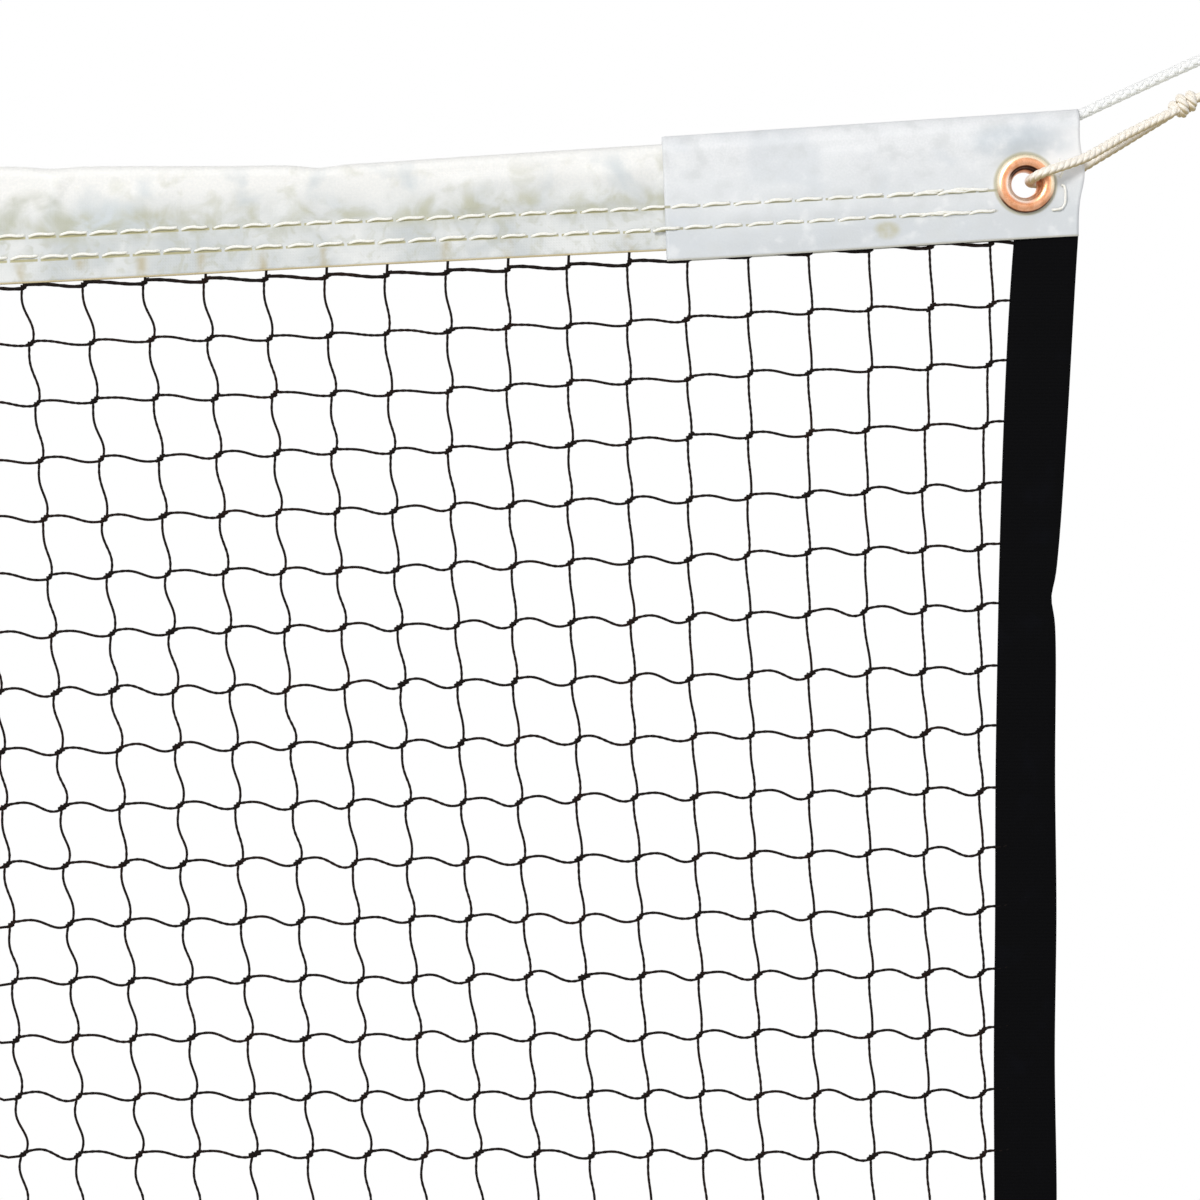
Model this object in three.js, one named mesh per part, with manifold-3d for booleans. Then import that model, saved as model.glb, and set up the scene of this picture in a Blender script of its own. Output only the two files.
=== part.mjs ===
// A badminton net, full size: headband folded over its head rope, corner patches with grommets,
// tie ropes, black netting and the black tapes that bind its sides and foot.
// Millimetres, +Z up, net in the XZ plane, origin on the head rope's centre at mid-span.
import * as THREE from "three";
import { mergeVertices } from "three/addons/utils/BufferGeometryUtils.js";
import Module from "manifold-3d";

const wasm = await Module();
wasm.setup();

// Overall sizes
const NET_LENGTH = 6100; // headband, end to end
const NET_DEPTH = 760; // top of the headband to the foot of the net
const GAP = 0.3; // between pieces that touch

// Head rope and the lift of its ends, where the posts pull the corners up
const HEAD_ROPE_D = 3.2;
const ROPE_LIFT_SLOPE = 0.066; // rise per millimetre near each end
const ROPE_LIFT_LENGTH = 245; // how far in from each end the rope starts to rise
const HEM_LIFT_SLOPE = 0.048; // the same for the headband's lower edge
const HEM_LIFT_LENGTH = 360;
const LIFT_KNEE = 18; // softness of the knee where the rise starts
const LIFT_FADES_BY = 300; // depth under the hem where the netting hangs level again

// Headband: one tape folded over the rope
const TAPE_WALL = 0.8;
const HEM_DEPTH = 34.2; // rope centre to the headband's lower edge
const NECK_DEPTH = 9; // where the two plies meet under the rope

// Corner patches over the ends of the headband
const PATCH_LENGTH = 131;
const PATCH_WALL = 1.0;
const PATCH_OVERHANG = 3.4; // below the headband's lower edge
const TAPE_INSET = 7; // the headband ends this far inside the patch

// Grommets
const GROMMET_HOLE_D = 8.4;
const GROMMET_FLANGE_D = 18.3;
const BARREL_WALL = 0.5;
const FLANGE_CROWN = 1.5;
const WASHER_T = 0.8;
const CURL_R = 1.9; // how far the rolled end of the barrel reaches over the washer
const GROMMET_INSET = 17.7; // centre, in from the end of the headband
const GROMMET_BELOW_ROPE = 17.5;

// Netting and its selvedge cord
const NETTING_T = 1.6;
const SELVEDGE_D = 1.6;
const SELVEDGE_DROP = 2.4; // below the headband's lower edge
const SWING_GAP = 0.6; // between the selvedge cord and the netting that swings under it
const FOLD_Z = -398; // height of the fold across the middle of the netting
const FOLD_GAP = 8; // between the two halves, so that they fold past each other

// Side and foot tapes
const SIDE_TAPE_W = 19.4;
const SIDE_TAPE_T = 1.8;
const SIDE_TAPE_INSET = 8.2; // outer edge, in from the end of the headband, where it hangs plumb
const SIDE_FLARE = 6.9; // how far it swings out at the top, towards the corner
const SIDE_FLARE_BELOW = 120; // length of the flare
const FOOT_TAPE_W = 20;

// Tie ropes and knots
const TIE_ROPE_D = 3.2;
const TIE_KNOT_R = 4.5;
const TIE_END_KNOT_R = 4.2;
const EYE_KNOT_R = 4.2;
const CORD_SIDES = 8;
const RING_STEPS = 36; // round the grommets

const COLOURS = {
  vinyl: 0xe9ebe8,
  patch: 0xe6ebf0,
  brass: 0xb87838,
  whiteRope: 0xece9e0,
  tieRope: 0xd9cfb4,
  netting: 0x17110e,
  tape: 0x101116,
};

const HALF_LENGTH = NET_LENGTH / 2;
const ROPE_R = HEAD_ROPE_D / 2;
const BORE_R = ROPE_R + GAP;
const FOLD_R = BORE_R + TAPE_WALL; // outside of the headband's fold
const FOOT_Z = FOLD_R - NET_DEPTH;
const PATCH_R = FOLD_R + GAP; // inside of the patch's fold
const PATCH_INNER_Y = TAPE_WALL + GAP;
const PATCH_FACE_Y = PATCH_INNER_Y + PATCH_WALL;
const SIDE_OUTER_X = HALF_LENGTH - SIDE_TAPE_INSET;
const SIDE_INNER_X = SIDE_OUTER_X - SIDE_TAPE_W;

const net = new THREE.Group();

function add(name, geometry, colour, roughness = 0.8, metalness = 0) {
  const material = new THREE.MeshStandardMaterial({ color: colour, roughness, metalness });
  const mesh = new THREE.Mesh(geometry, material);
  mesh.name = name;
  net.add(mesh);
  return mesh;
}

// How far a rise of this slope, starting this far in from the ends, has got at x.
function lift(x, slope, length) {
  const past = Math.abs(x) - (HALF_LENGTH - length);
  return slope * LIFT_KNEE * Math.log1p(Math.exp(past / LIFT_KNEE));
}

// The rise of a point of the net: the rope's at the top, the hem's at the hem, none far below.
function rise(x, z) {
  const rope = lift(x, ROPE_LIFT_SLOPE, ROPE_LIFT_LENGTH);
  const hem = lift(x, HEM_LIFT_SLOPE, HEM_LIFT_LENGTH);
  const down = THREE.MathUtils.clamp(-z / HEM_DEPTH, 0, 1);
  const fade = THREE.MathUtils.smoothstep(-z - HEM_DEPTH, 0, LIFT_FADES_BY);
  return (rope * (1 - down) + hem * down) * (1 - fade);
}

// Stations along the net: close together where the ends rise, far apart between.
function stations(from, to) {
  const near = HALF_LENGTH - HEM_LIFT_LENGTH - 3 * LIFT_KNEE;
  const endStep = 40;
  const middle = [-near, -near / 2, 0, near / 2, near];
  const ends = [];
  for (let x = near + endStep; x < HALF_LENGTH; x += endStep) ends.push(-x, x);
  const inside = [...middle, ...ends].filter((x) => x > from + 1 && x < to - 1);
  return [from, ...inside, to].sort((a, b) => a - b);
}

// A section drawn in (y, z), run along X from one end to the other and raised with the net.
function alongNet(section, from, to) {
  const xs = stations(from, to);
  const steps = xs.length - 1;
  const geometry = new THREE.ExtrudeGeometry(section, {
    depth: steps,
    steps,
    bevelEnabled: false,
    curveSegments: 8,
  });
  const p = geometry.getAttribute("position");
  for (let i = 0; i < p.count; i++) {
    const x = xs[Math.round(p.getZ(i))];
    const y = p.getX(i);
    const z = p.getY(i);
    p.setXYZ(i, x, y, z + rise(x, z));
  }
  return geometry;
}

function polygon(sides, radius) {
  const corners = [];
  for (let i = 0; i < sides; i++) {
    const a = (2 * Math.PI * i) / sides;
    corners.push(new THREE.Vector2(radius * Math.cos(a), radius * Math.sin(a)));
  }
  return new THREE.Shape(corners);
}

function rectangle(halfThickness, top, bottom) {
  const shape = new THREE.Shape();
  shape.moveTo(-halfThickness, bottom);
  shape.lineTo(halfThickness, bottom);
  shape.lineTo(halfThickness, top);
  shape.lineTo(-halfThickness, top);
  return shape;
}

// A round cord along a smooth curve through the points.
function cord(points, diameter, steps) {
  const path = new THREE.CatmullRomCurve3(points);
  return new THREE.ExtrudeGeometry(polygon(CORD_SIDES, diameter / 2), {
    extrudePath: path,
    steps,
    bevelEnabled: false,
  });
}

function solid(geometry) {
  const bare = geometry.index ? geometry.toNonIndexed() : geometry.clone();
  bare.deleteAttribute("normal");
  bare.deleteAttribute("uv");
  const merged = mergeVertices(bare, 1e-4);
  return new wasm.Manifold(
    new wasm.Mesh({
      numProp: 3,
      vertProperties: merged.attributes.position.array,
      triVerts: new Uint32Array(merged.index.array),
    }),
  );
}

function fromSolid(manifold) {
  const { vertProperties, triVerts } = manifold.getMesh();
  const geometry = new THREE.BufferGeometry();
  geometry.setAttribute("position", new THREE.BufferAttribute(vertProperties, 3));
  geometry.setIndex(new THREE.BufferAttribute(triVerts, 1));
  return geometry.toNonIndexed();
}

// The headband's fold: a drop round the rope that closes to two flat plies, with the rope's bore.
function headbandSection() {
  const neck = 0.35; // angle where the drop leaves the round of the fold
  const section = new THREE.Shape();
  section.moveTo(TAPE_WALL, -HEM_DEPTH);
  section.lineTo(TAPE_WALL, -NECK_DEPTH);
  section.lineTo(FOLD_R * Math.cos(neck), -FOLD_R * Math.sin(neck));
  section.absarc(0, 0, FOLD_R, -neck, Math.PI + neck, false);
  section.lineTo(-TAPE_WALL, -NECK_DEPTH);
  section.lineTo(-TAPE_WALL, -HEM_DEPTH);
  section.holes.push(new THREE.Path().absarc(0, 0, BORE_R, 0, 2 * Math.PI, true));
  return section;
}

// A corner patch: one sheet folded over the headband, open at its lower edge.
function patchSection() {
  const neck = 0.35;
  const outerR = PATCH_R + PATCH_WALL;
  const foot = -HEM_DEPTH - PATCH_OVERHANG;
  const section = new THREE.Shape();
  section.moveTo(PATCH_FACE_Y, foot);
  section.lineTo(PATCH_FACE_Y, -NECK_DEPTH);
  section.lineTo(outerR * Math.cos(neck), -outerR * Math.sin(neck));
  section.absarc(0, 0, outerR, -neck, Math.PI + neck, false);
  section.lineTo(-PATCH_FACE_Y, -NECK_DEPTH);
  section.lineTo(-PATCH_FACE_Y, foot);
  section.lineTo(-PATCH_INNER_Y, foot);
  section.lineTo(-PATCH_INNER_Y, -NECK_DEPTH);
  section.lineTo(-PATCH_R * Math.cos(neck), -PATCH_R * Math.sin(neck));
  section.absarc(0, 0, PATCH_R, Math.PI + neck, -neck, true);
  section.lineTo(PATCH_INNER_Y, -NECK_DEPTH);
  section.lineTo(PATCH_INNER_Y, foot);
  return section;
}

function grommetCentre(side) {
  const x = HALF_LENGTH - GROMMET_INSET;
  const z = lift(x, ROPE_LIFT_SLOPE, ROPE_LIFT_LENGTH) - GROMMET_BELOW_ROPE;
  return new THREE.Vector3(side * x, 0, z);
}

// A ring turned about Y from a closed profile of [radius, y], listed clockwise with radius to the
// right and y up.
function turned(profile) {
  const points = profile.map(([r, y]) => new THREE.Vector2(r, y)).reverse();
  return new THREE.LatheGeometry(points, RING_STEPS);
}

// Eyelet: front flange, barrel through the cloth, and its rolled end over the washer behind.
function eyelet() {
  const hole = GROMMET_HOLE_D / 2;
  const barrel = hole + BARREL_WALL;
  const rim = GROMMET_FLANGE_D / 2;
  const seat = -PATCH_FACE_Y - GAP;
  const crown = seat - FLANGE_CROWN;
  const washerBack = PATCH_FACE_Y + GAP + WASHER_T;
  const curlSeat = washerBack + GAP;
  const curlTop = curlSeat + 2 * BARREL_WALL;
  const profile = [
    [barrel, seat],
    [rim, seat],
    [rim, seat - 0.35 * FLANGE_CROWN],
    [rim - 0.9, crown + 0.15],
    [(hole + rim) / 2, crown],
    [hole + 0.9, crown + 0.25],
    [hole, seat],
    [hole, curlSeat],
    [hole + 0.5, curlTop],
    [barrel + CURL_R - 0.4, curlTop],
    [barrel + CURL_R, curlSeat],
    [barrel, curlSeat],
    [barrel, seat],
  ];
  return turned(profile);
}

function washer() {
  const inner = GROMMET_HOLE_D / 2 + BARREL_WALL + GAP;
  const outer = GROMMET_FLANGE_D / 2;
  const near = PATCH_FACE_Y + GAP;
  const far = near + WASHER_T;
  const profile = [
    [inner, near],
    [inner, far],
    [outer, far],
    [outer, near],
    [inner, near],
  ];
  return turned(profile);
}

// The hole punched through headband and patch for a grommet's barrel.
function punch(side) {
  const radius = GROMMET_HOLE_D / 2 + BARREL_WALL + GAP;
  const geometry = new THREE.CylinderGeometry(radius, radius, 20, RING_STEPS);
  const centre = grommetCentre(side);
  return solid(geometry.translate(centre.x, 0, centre.z));
}

function buildHeadband() {
  const end = HALF_LENGTH - TAPE_INSET;
  const tape = solid(alongNet(headbandSection(), -end, end));
  const punched = tape.subtract(punch(1)).subtract(punch(-1));
  add("headband_tape", fromSolid(punched), COLOURS.vinyl, 0.55);
  add("head_rope", alongNet(polygon(CORD_SIDES, ROPE_R), -end, end), COLOURS.whiteRope);
}

function buildCorner(side, hand) {
  const inner = HALF_LENGTH - PATCH_LENGTH;
  const [from, to] = side > 0 ? [inner, HALF_LENGTH] : [-HALF_LENGTH, -inner];
  const patch = solid(alongNet(patchSection(), from, to)).subtract(punch(side));
  add(`corner_patch_${hand}`, fromSolid(patch), COLOURS.patch, 0.5);
  const centre = grommetCentre(side);
  const front = add(`grommet_eyelet_${hand}`, eyelet(), COLOURS.brass, 0.3, 1);
  const back = add(`grommet_washer_${hand}`, washer(), COLOURS.brass, 0.35, 1);
  front.position.copy(centre);
  back.position.copy(centre);
}

// Points given as [out, y, z] from an anchor, out being away from mid-span.
function route(points, anchor, side) {
  return points.map(
    ([out, y, z]) => new THREE.Vector3(anchor.x + side * out, anchor.y + y, anchor.z + z),
  );
}

function ball(radius, centre) {
  return new THREE.SphereGeometry(radius, 14, 10).translate(centre.x, centre.y, centre.z);
}

// The head rope's free end: out of the headband's mouth, up to a knot and the eye for the post.
const HEAD_END = [
  [-6.7, 0, -0.2],
  [-3.5, 0, 0.1],
  [0, 0, 0.9],
  [4, 0, 3.4],
  [12, 0, 8.3],
  [24, 0, 14.3],
  [40, 0, 21.6],
  [57.6, 0, 28.8],
];
const HEAD_KNOT = [61.8, 0, 30.6];
const HEAD_EYE = [
  [65.6, -1.2, 34.1],
  [70.5, -1.2, 39.3],
  [77.5, -1.0, 44.7],
  [86.0, -0.6, 48.3],
  [93.0, 0, 49.1],
  [97.8, 0, 46.5],
  [98.2, 0, 41.3],
  [94.2, 0.6, 36.3],
  [86.5, 1.0, 32.9],
  [77.0, 1.2, 31.1],
  [67.4, 1.2, 30.3],
];

function buildHeadRopeEnd(side, hand) {
  const mouth = new THREE.Vector3(
    side * HALF_LENGTH,
    0,
    lift(HALF_LENGTH, ROPE_LIFT_SLOPE, ROPE_LIFT_LENGTH),
  );
  const [knot] = route([HEAD_KNOT], mouth, side);
  const end = cord(route(HEAD_END, mouth, side), HEAD_ROPE_D, 14);
  const eye = cord(route(HEAD_EYE, mouth, side), HEAD_ROPE_D, 20);
  add(`head_rope_end_${hand}`, end, COLOURS.whiteRope);
  add(`head_rope_knot_${hand}`, ball(EYE_KNOT_R, knot), COLOURS.whiteRope);
  add(`head_rope_eye_${hand}`, eye, COLOURS.whiteRope);
}

// The tie rope, from the outer side of the grommet's hole: a bight round that side, whose front
// and rear strands meet in a knot, and the tail beyond it.
const TIE_FRONT = [
  [-1.92, -0.4, 0.96],
  [-1.92, -2, 0.96],
  [-1.75, -3.7, 1.02],
  [-1.11, -5.1, 1.25],
  [0.23, -6.2, 1.74],
  [2.03, -6.7, 2.4],
  [4.1, -6.6, 3.15],
  [8.65, -5.6, 4.9],
  [14.25, -4.4, 7.7],
  [19.95, -3.3, 11.1],
  [25.95, -2.5, 14.6],
  [32.95, -2.0, 18.2],
  [41.45, -1.8, 22.3],
];
const TIE_REAR = [
  [-1.92, 0.4, 0.96],
  [-1.92, 3, 0.96],
  [-1.75, 4.7, 0.98],
  [-1.05, 6.4, 1.1],
  [0.4, 8.1, 1.3],
  [2.3, 9.0, 1.6],
  [4.45, 9.0, 2],
  [9.05, 7.4, 3.2],
  [14.25, 5.3, 5.8],
  [18.95, 3.9, 8.6],
  [24.95, 2.8, 12.2],
  [32.45, 2.1, 16.8],
  [41.45, 1.8, 22.3],
];
const TIE_KNOT = [45.55, 0, 25];
const TIE_TAIL = [
  [50.45, 0, 27.4],
  [54.45, 0, 28.4],
  [61.45, 0, 29.6],
  [70.45, 0, 30.7],
  [81.45, 0, 31.6],
];
const TIE_END_KNOT = [86.05, 0, 31.9];

function buildTieRope(side, hand) {
  const holeSide = grommetCentre(side);
  holeSide.x += (side * GROMMET_HOLE_D) / 2;
  const length = (points, steps) => cord(route(points, holeSide, side), TIE_ROPE_D, steps);
  const [knot] = route([TIE_KNOT], holeSide, side);
  const [endKnot] = route([TIE_END_KNOT], holeSide, side);
  add(`tie_rope_front_${hand}`, length(TIE_FRONT, 16), COLOURS.tieRope);
  add(`tie_rope_rear_${hand}`, length(TIE_REAR, 16), COLOURS.tieRope);
  add(`tie_rope_tail_${hand}`, length(TIE_TAIL, 8), COLOURS.tieRope);
  add(`tie_knot_${hand}`, ball(TIE_KNOT_R, knot), COLOURS.tieRope);
  add(`tie_end_knot_${hand}`, ball(TIE_END_KNOT_R, endKnot), COLOURS.tieRope);
}

// A length of side tape between two heights; with a flare, its top swings out towards the corner.
function sideTape(side, top, bottom, flare) {
  const plumbTop = flare > 0 ? top - SIDE_FLARE_BELOW : top;
  const bend = plumbTop + SIDE_FLARE_BELOW / 3;
  const shape = new THREE.Shape();
  shape.moveTo(side * SIDE_OUTER_X, bottom);
  shape.lineTo(side * SIDE_OUTER_X, plumbTop);
  if (flare > 0) {
    shape.quadraticCurveTo(side * SIDE_OUTER_X, bend, side * (SIDE_OUTER_X + flare), top);
    shape.lineTo(side * (SIDE_INNER_X + flare), top);
    shape.quadraticCurveTo(side * SIDE_INNER_X, bend, side * SIDE_INNER_X, plumbTop);
  } else {
    shape.lineTo(side * SIDE_INNER_X, plumbTop);
  }
  shape.lineTo(side * SIDE_INNER_X, bottom);
  const options = { depth: SIDE_TAPE_T, bevelEnabled: false, curveSegments: 6 };
  return new THREE.ExtrudeGeometry(shape, options)
    .rotateX(Math.PI / 2)
    .translate(0, SIDE_TAPE_T / 2, 0);
}

function buildSideTapes(side, hand) {
  const hemLift = lift(SIDE_INNER_X + SIDE_FLARE, HEM_LIFT_SLOPE, HEM_LIFT_LENGTH);
  const top = hemLift - HEM_DEPTH - PATCH_OVERHANG - GAP;
  const foot = FOOT_Z + FOOT_TAPE_W + GAP;
  const upperFoot = FOLD_Z + FOLD_GAP / 2;
  const lowerTop = FOLD_Z - FOLD_GAP / 2;
  add(`side_tape_upper_${hand}`, sideTape(side, top, upperFoot, SIDE_FLARE), COLOURS.tape, 0.9);
  add(`side_tape_lower_${hand}`, sideTape(side, lowerTop, foot, 0), COLOURS.tape, 0.9);
}

function buildNetting() {
  const halfThickness = NETTING_T / 2;
  const reach = SIDE_INNER_X - GAP;
  const selvedge = -HEM_DEPTH - SELVEDGE_DROP;
  const top = selvedge - SELVEDGE_D / 2 - SWING_GAP;
  const upper = rectangle(halfThickness, top, FOLD_Z + FOLD_GAP / 2);
  const lower = rectangle(halfThickness, FOLD_Z - FOLD_GAP / 2, FOOT_Z + FOOT_TAPE_W + GAP);
  add("netting_upper", alongNet(upper, -reach, reach), COLOURS.netting, 0.9);
  add("netting_lower", alongNet(lower, -reach, reach), COLOURS.netting, 0.9);

  const cordLine = alongNet(polygon(CORD_SIDES, SELVEDGE_D / 2), -reach, reach);
  const p = cordLine.getAttribute("position");
  for (let i = 0; i < p.count; i++) {
    const x = p.getX(i);
    const z = p.getZ(i) - rise(x, 0);
    p.setZ(i, selvedge + z + rise(x, selvedge));
  }
  add("top_selvedge_cord", cordLine, COLOURS.netting, 0.9);
}

function buildFootTape() {
  const section = rectangle(SIDE_TAPE_T / 2, FOOT_Z + FOOT_TAPE_W, FOOT_Z);
  add("foot_tape", alongNet(section, -SIDE_OUTER_X, SIDE_OUTER_X), COLOURS.tape, 0.9);
}

buildHeadband();
buildNetting();
buildFootTape();
for (const [side, hand] of [
  [1, "right"],
  [-1, "left"],
]) {
  buildCorner(side, hand);
  buildHeadRopeEnd(side, hand);
  buildTieRope(side, hand);
  buildSideTapes(side, hand);
}

export default net;
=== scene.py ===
"""A full-size badminton net: white headband, corner patches, grommets, ropes, knotted netting, tapes."""

import math

import bpy
import numpy as np
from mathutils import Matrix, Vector


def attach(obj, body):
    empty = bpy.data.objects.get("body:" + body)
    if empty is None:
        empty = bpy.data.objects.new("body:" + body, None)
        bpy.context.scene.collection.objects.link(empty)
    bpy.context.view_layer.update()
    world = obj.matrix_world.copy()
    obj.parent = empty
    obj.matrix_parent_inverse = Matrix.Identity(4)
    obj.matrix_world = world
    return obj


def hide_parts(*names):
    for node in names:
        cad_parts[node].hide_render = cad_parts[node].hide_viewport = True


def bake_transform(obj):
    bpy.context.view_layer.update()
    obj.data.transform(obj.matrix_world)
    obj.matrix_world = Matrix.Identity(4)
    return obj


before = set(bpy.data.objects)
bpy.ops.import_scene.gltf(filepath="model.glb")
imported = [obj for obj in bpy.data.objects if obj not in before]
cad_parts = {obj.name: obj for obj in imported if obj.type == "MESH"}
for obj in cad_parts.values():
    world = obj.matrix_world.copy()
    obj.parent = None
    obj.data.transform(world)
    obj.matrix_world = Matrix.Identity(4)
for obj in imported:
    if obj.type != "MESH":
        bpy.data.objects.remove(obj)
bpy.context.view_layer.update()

# Everything is measured in millimetres here and turned into metres as each mesh is made.
MM = 0.001

HALF_LENGTH = 3050.0
ROPE_LIFT = (0.066, 245.0)  # rise per millimetre near each end, and how far in it starts
HEM_LIFT = (0.048, 360.0)
LIFT_KNEE = 18.0
LIFT_FADES_BY = 300.0  # below the hem, for the cloth and the tapes
LIFT_RUNS_OUT = 276.0  # below the hem, for the netting
HEM_DEPTH = 34.2
NECK_DEPTH = 9.0  # where the two plies come together under the rope
ROPE_D = 3.2

TAPE_WALL = 0.75
TAPE_FOLD_R = 2.3  # middle of the cloth, round the rope
TAPE_PLY_Y = 0.43  # middle of each ply, below the rope
TAPE_END = HALF_LENGTH - 7.0
PATCH_LENGTH = 131.0
PATCH_START = HALF_LENGTH - PATCH_LENGTH
PATCH_WALL = 0.9
PATCH_FOLD_R = 3.5
PATCH_PLY_Y = 1.6
PATCH_OVERHANG = 3.4

GROMMET_X = HALF_LENGTH - 17.7
GROMMET_BELOW_ROPE = 17.5
GROMMET_Z = -2.5  # once the posts have lifted the corner
GROMMET_HOLE_R = 4.2
GROMMET_BARREL_R = 5.0
GROMMET_RIM_R = 9.15
PUNCHED_R = 5.6  # the hole cut in the cloth

DENT_X = 2727.0  # the middle of the dents near the headband's right end
SAG_X = 2690.0  # where the headband's hem sags most
NICK_X = 2811.0  # a short crease across its fold

STITCH_ROWS = (13.9, 7.0)  # above the headband's lower edge
STITCH_PITCH = 9.6
STITCH_LENGTH = 8.3
ROW_START = 16.0  # from the grommet's middle to the nearest stitch
ROW_STAGGER = 0.4  # of a stitch, between the two rows
THREAD_R = 0.5

SELVEDGE_DROP = 1.7
SELVEDGE_Z = -HEM_DEPTH - SELVEDGE_DROP
NET_REACH = 3022.0
COLUMNS = 317
MESH_W = 2 * NET_REACH / COLUMNS
MESH_H = 18.06
ROWS = 38
FOLD_ROW = 18  # the netting's lower half starts at this row
TWINE_R = 0.42
SELVEDGE_R = 0.56
NEAR_X = 2690.0  # past this, the pieces are made at their finest

FOLD_Z = -398.0
SWING_BEND = (-36.0, -112.0)  # heights between which the netting bends as it swings
FOLD_BEND = (FOLD_Z + 34.0, FOLD_Z - 34.0)
FOOT_Z = -757.3
FOOT_TAPE_W = 20.0
SIDE_INNER_X = 3022.4
SIDE_OUTER_X = 3041.8
SIDE_TAPE_W = SIDE_OUTER_X - SIDE_INNER_X
SIDE_TAPE_T = 1.8
SIDE_TAPE_PLY = 0.75

SIDES = ((1, "right"), (-1, "left"))


# ---------------------------------------------------------------- shared shape functions


def fades(t):
    """0 below 0 and 1 above 1, with a soft run between."""
    t = np.clip(t, 0.0, 1.0)
    return t * t * (3 - 2 * t)


def lift(x, rise_of):
    """How far the posts lift the net at x, level in mid-span and steady near each end."""
    slope, length = rise_of
    past = np.abs(x) - (HALF_LENGTH - length)
    return slope * LIFT_KNEE * np.logaddexp(0.0, past / LIFT_KNEE)


def rise(x, z):
    """How far the posts lift a point of the net that hangs at x and z."""
    down = np.clip(-z / HEM_DEPTH, 0, 1)
    fade = fades((-z - HEM_DEPTH) / LIFT_FADES_BY)
    return (lift(x, ROPE_LIFT) * (1 - down) + lift(x, HEM_LIFT) * down) * (1 - fade)


def net_rise(x, z):
    """How far the lifted hem draws up the netting at x, down to where it hangs level."""
    return lift(x, HEM_LIFT) * (1 - np.clip((-z - HEM_DEPTH) / LIFT_RUNS_OUT, 0, 1))


def row_wander(x, row):
    """How far a row of stitches strays from its height."""
    return 0.35 * np.sin(np.asarray(x) / 61.0 + row / 20)


def squeeze(x):
    """How much closer the hem and the rope are at x than in mid-span."""
    return 1 - (lift(x, HEM_LIFT) - lift(x, ROPE_LIFT)) / HEM_DEPTH


def row_z(x, row):
    """Where a row of stitches is before the posts lift it, so that it ends up that far above the hem."""
    return -HEM_DEPTH + (row + row_wander(x, row)) / squeeze(x)


def clouds(x, z, size, seed):
    """Soft noise from 0 to 1 over two lengths, with features of about that size."""
    table = np.random.default_rng(seed).random((64, 64))
    u = np.asarray(x, float) / size
    v = np.asarray(z, float) / size
    i = np.floor(u).astype(int)
    j = np.floor(v).astype(int)
    a = fades(u - i)
    b = fades(v - j)

    def corner(di, dj):
        return table[(i + di) % 64, (j + dj) % 64]

    low = corner(0, 0) * (1 - a) + corner(1, 0) * a
    high = corner(0, 1) * (1 - a) + corner(1, 1) * a
    return low * (1 - b) + high * b


def bump_at(x, z, centre_x, centre_z, width, height):
    """A round soft bump, 1 at its centre."""
    return np.exp(-(((x - centre_x) / width) ** 2) - ((z - centre_z) / height) ** 2)


def through(points, step):
    """Points along a smooth curve through the given ones, about a step apart."""
    p = np.asarray(points, float)
    chord = np.sqrt(np.linalg.norm(np.diff(p, axis=0), axis=1))
    at = np.concatenate([[0], np.cumsum(chord)])
    slope = np.gradient(p, at, axis=0, edge_order=1)
    fine = np.linspace(0, at[-1], 24 * len(p))
    k = np.clip(np.searchsorted(at, fine, side="right") - 1, 0, len(p) - 2)
    run = (at[k + 1] - at[k])[:, None]
    t = (fine - at[k])[:, None] / run
    curve = (
        p[k] * (1 + 2 * t) * (1 - t) ** 2
        + slope[k] * run * t * (1 - t) ** 2
        + p[k + 1] * t * t * (3 - 2 * t)
        + slope[k + 1] * run * t * t * (t - 1)
    )
    return evenly(curve, step)


def run_along(line):
    """How far along a line each of its points is."""
    return np.concatenate([[0], np.cumsum(np.linalg.norm(np.diff(line, axis=0), axis=1))])


def evenly(line, step):
    """Points at even distances along a line, about a step apart."""
    along = run_along(line)
    count = max(2, math.ceil(along[-1] / step) + 1)
    at = np.linspace(0, along[-1], count)
    return np.stack([np.interp(at, along, line[:, k]) for k in range(3)], axis=1)


def unit(v):
    """Each vector at a length of 1."""
    return v / np.maximum(np.linalg.norm(v, axis=-1, keepdims=True), 1e-12)


def frames_along(line):
    """For each point of a line, its direction and two directions across it that don't spin."""
    ahead = unit(np.gradient(line, axis=0))
    start = np.cross(ahead[0], (0.0, 1.0, 0.0))
    across = [unit(start if np.linalg.norm(start) > 0.1 else np.cross(ahead[0], (1.0, 0.0, 0.0)))]
    for t in ahead[1:]:
        carried = across[-1] - t * np.dot(across[-1], t)
        across.append(unit(carried))
    across = np.array(across)
    return ahead, across, np.cross(ahead, across)


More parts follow.
